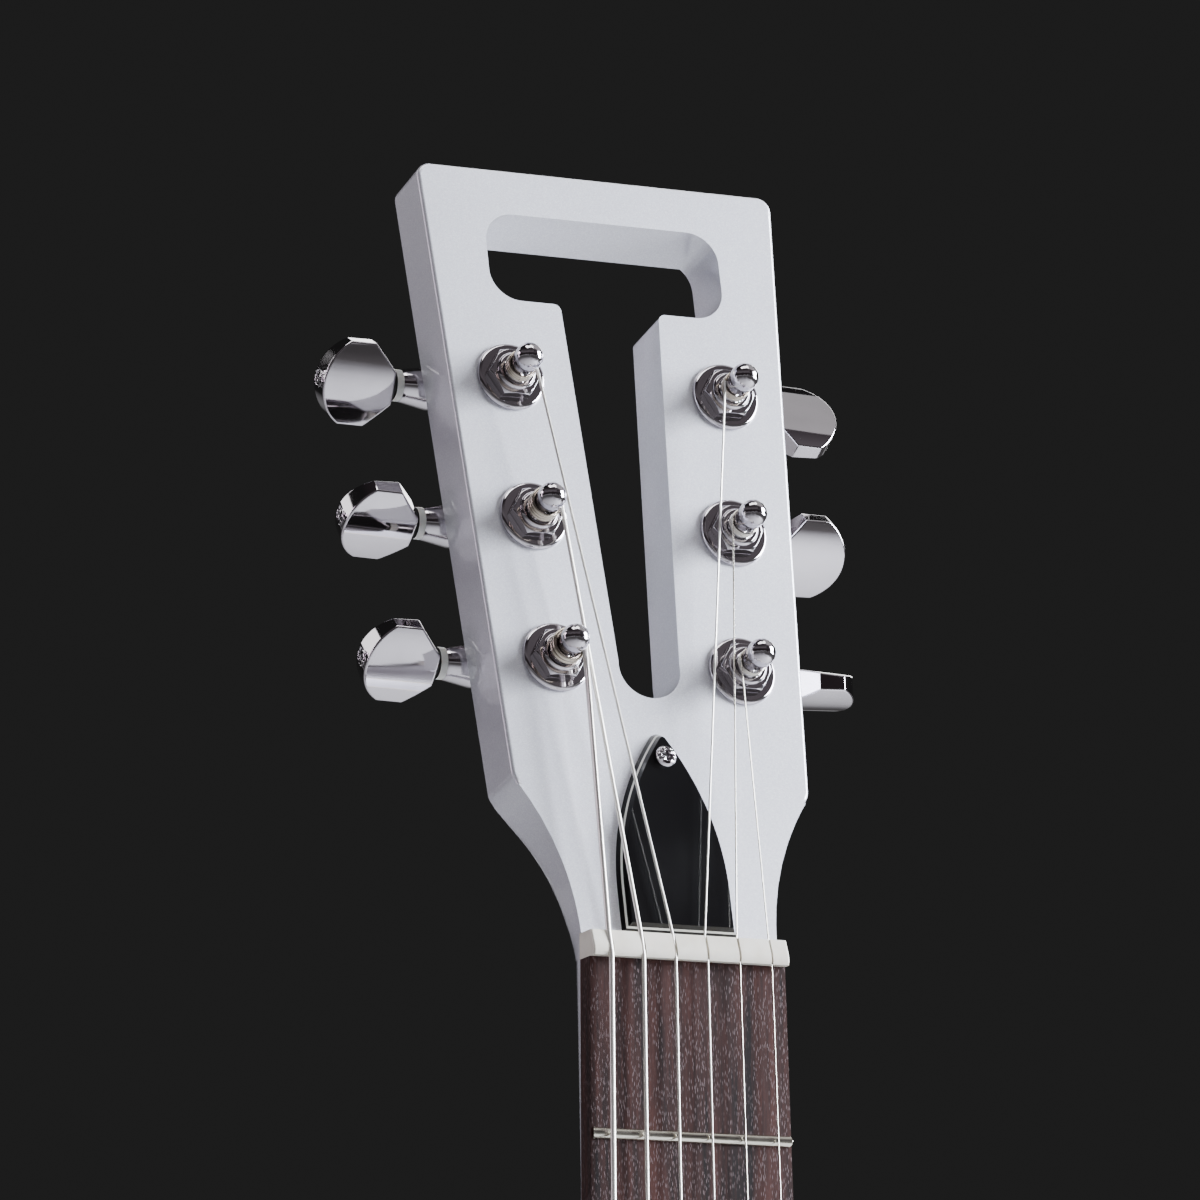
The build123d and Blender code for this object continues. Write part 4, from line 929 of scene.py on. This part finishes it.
@dataclass
class Strings:
    """Six strings from the posts to the tailpiece: wound ones on the bass side, plain steel on the treble."""

    node: str = "strings"
    wound: int = 4

    def build(self, bench: Bench) -> None:
        """Separate the strings, measure each along its run and dress it."""
        lines = bench.loose(bench.copied(self.node))
        lines.sort(key=lambda line: sum(v.co.x for v in line.data.vertices) / len(line.data.vertices))
        for number, line in enumerate(lines, start=1):
            line.name = line.data.name = f"string_{number}"
            bench.measured(line, lambda spot: -spot.z)
            bench.smoothed(line, 40.0, weighted=False)
            bench.dressed(line, Look.WOUND if number <= self.wound else Look.PLAIN)
            bench.installed(line, self.node)


@dataclass
class Winding:
    """A string's turns round its post: one rising coil whose upper end meets the string."""

    string: int
    diameter: float
    turns: int
    waist: float = 2.6
    floor: float = 4.6
    rise: float = 0.08
    spacing: float = 7.1
    nut_back: tuple[float, float] = (-12.55, -14.9)  # Y and Z where the strings leave the nut
    steps: int = 40

    def build(self, bench: Bench, post: Vector, normal: Vector) -> None:
        """Sweep a small circle up a helix and set it round the post.

        Args:
            bench: The modelling helpers.
            post: Where the post's axis leaves the headstock's face.
            normal: The face's outward normal.
        """
        across = Vector((1.0, 0.0, 0.0))
        along = normal.cross(across)
        away = post - Vector((self.spacing * (self.string - 3.5), *self.nut_back)) * MM
        du, dv = away.dot(across), away.dot(along)
        toward = 1.0 if post.x < 0.0 else -1.0  # strings leave the side of a post that faces the middle
        last = math.atan2(-toward * du, toward * dv)
        sweep = -toward * 2 * math.pi * self.turns
        radius = (self.waist + self.diameter / 2 + 0.02) * MM
        low, climb = (self.floor + self.diameter / 2) * MM, (self.diameter * self.turns + self.rise) * MM
        first = last - sweep
        bench.clear()
        bpy.ops.mesh.primitive_circle_add(
            vertices=12,
            radius=self.diameter * 0.46 * MM,
            location=(radius * math.cos(first), radius * math.sin(first), low),
            rotation=(math.radians(90.0), 0.0, first),
        )
        coil = bpy.context.object
        coil.name = coil.data.name = f"string_{self.string}_coil"
        bpy.ops.object.transform_apply(location=True, rotation=True, scale=True)
        helix = coil.modifiers.new("helix", "SCREW")
        helix.angle, helix.screw_offset = sweep, climb
        helix.steps = helix.render_steps = self.steps * self.turns
        bpy.ops.object.modifier_apply(modifier=helix.name)
        bpy.ops.object.mode_set(mode="EDIT")
        bpy.ops.mesh.select_all(action="SELECT")
        bpy.ops.mesh.fill_holes(sides=0)
        bpy.ops.mesh.select_all(action="SELECT")
        bpy.ops.mesh.normals_make_consistent(inside=False)
        bpy.ops.object.mode_set(mode="OBJECT")
        length = abs(sweep) * radius
        bench.measured(coil, lambda spot: (spot.z - low) / climb * length)
        bench.smoothed(coil, 50.0, weighted=False)
        place = Matrix((across, along, normal)).transposed().to_4x4()
        bench.settled(coil, Matrix.Translation(post) @ place)
        bench.dressed(coil, Look.COIL if self.string <= Strings.wound else Look.PLAIN)
        bench.installed(coil, f"string_{self.string}_winding")


@dataclass
class ButtonWashers:
    """A pale nylon washer and a black ring on each tuner shaft, inside the button."""

    node: str = "tuner_button_washers"
    ring: float = 0.78

    def build(self, bench: Bench) -> None:
        """Give the outermost ring of each washer the black finish and the rest the nylon one."""
        washers = bench.loose(bench.copied(self.node))
        for washer in washers:
            washer.data.materials.clear()
            for look in (Look.NYLON, Look.BLACK_RING):
                washer.data.materials.append(bench.finishes.material(look.value))
            outer = max(abs(vertex.co.x) for vertex in washer.data.vertices) - self.ring * MM
            for face in washer.data.polygons:
                face.material_index = 1 if abs(face.center.x) > outer else 0
        piece = bench.joined("button_washers", washers)
        bench.smoothed(piece)
        bench.installed(piece, self.node)


def main() -> None:
    """Load the frame, build and dress every piece, and set up the studio."""
    logging.basicConfig(level=logging.INFO, format="%(name)s: %(message)s")
    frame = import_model()
    frame_low, frame_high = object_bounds()
    Studio().build(frame_low)
    bench = Bench(FinishBook())
    post = next(j for j in frame["joints"] if j["name"] == "tuner_1_post_turn")
    Copies().build(bench)
    RodCover().build(bench, Vector(post["pos_m"]), Vector(post["axis"]))
    Strings().build(bench)
    ButtonWashers().build(bench)
    for string, (tuner, diameter, turns) in enumerate(STRING_ENDS, start=1):
        post = next(j for j in frame["joints"] if j["name"] == f"tuner_{tuner}_post_turn")
        Winding(string, diameter, turns).build(bench, Vector(post["pos_m"]), Vector(post["axis"]))


if __name__ == "__main__":
    main()
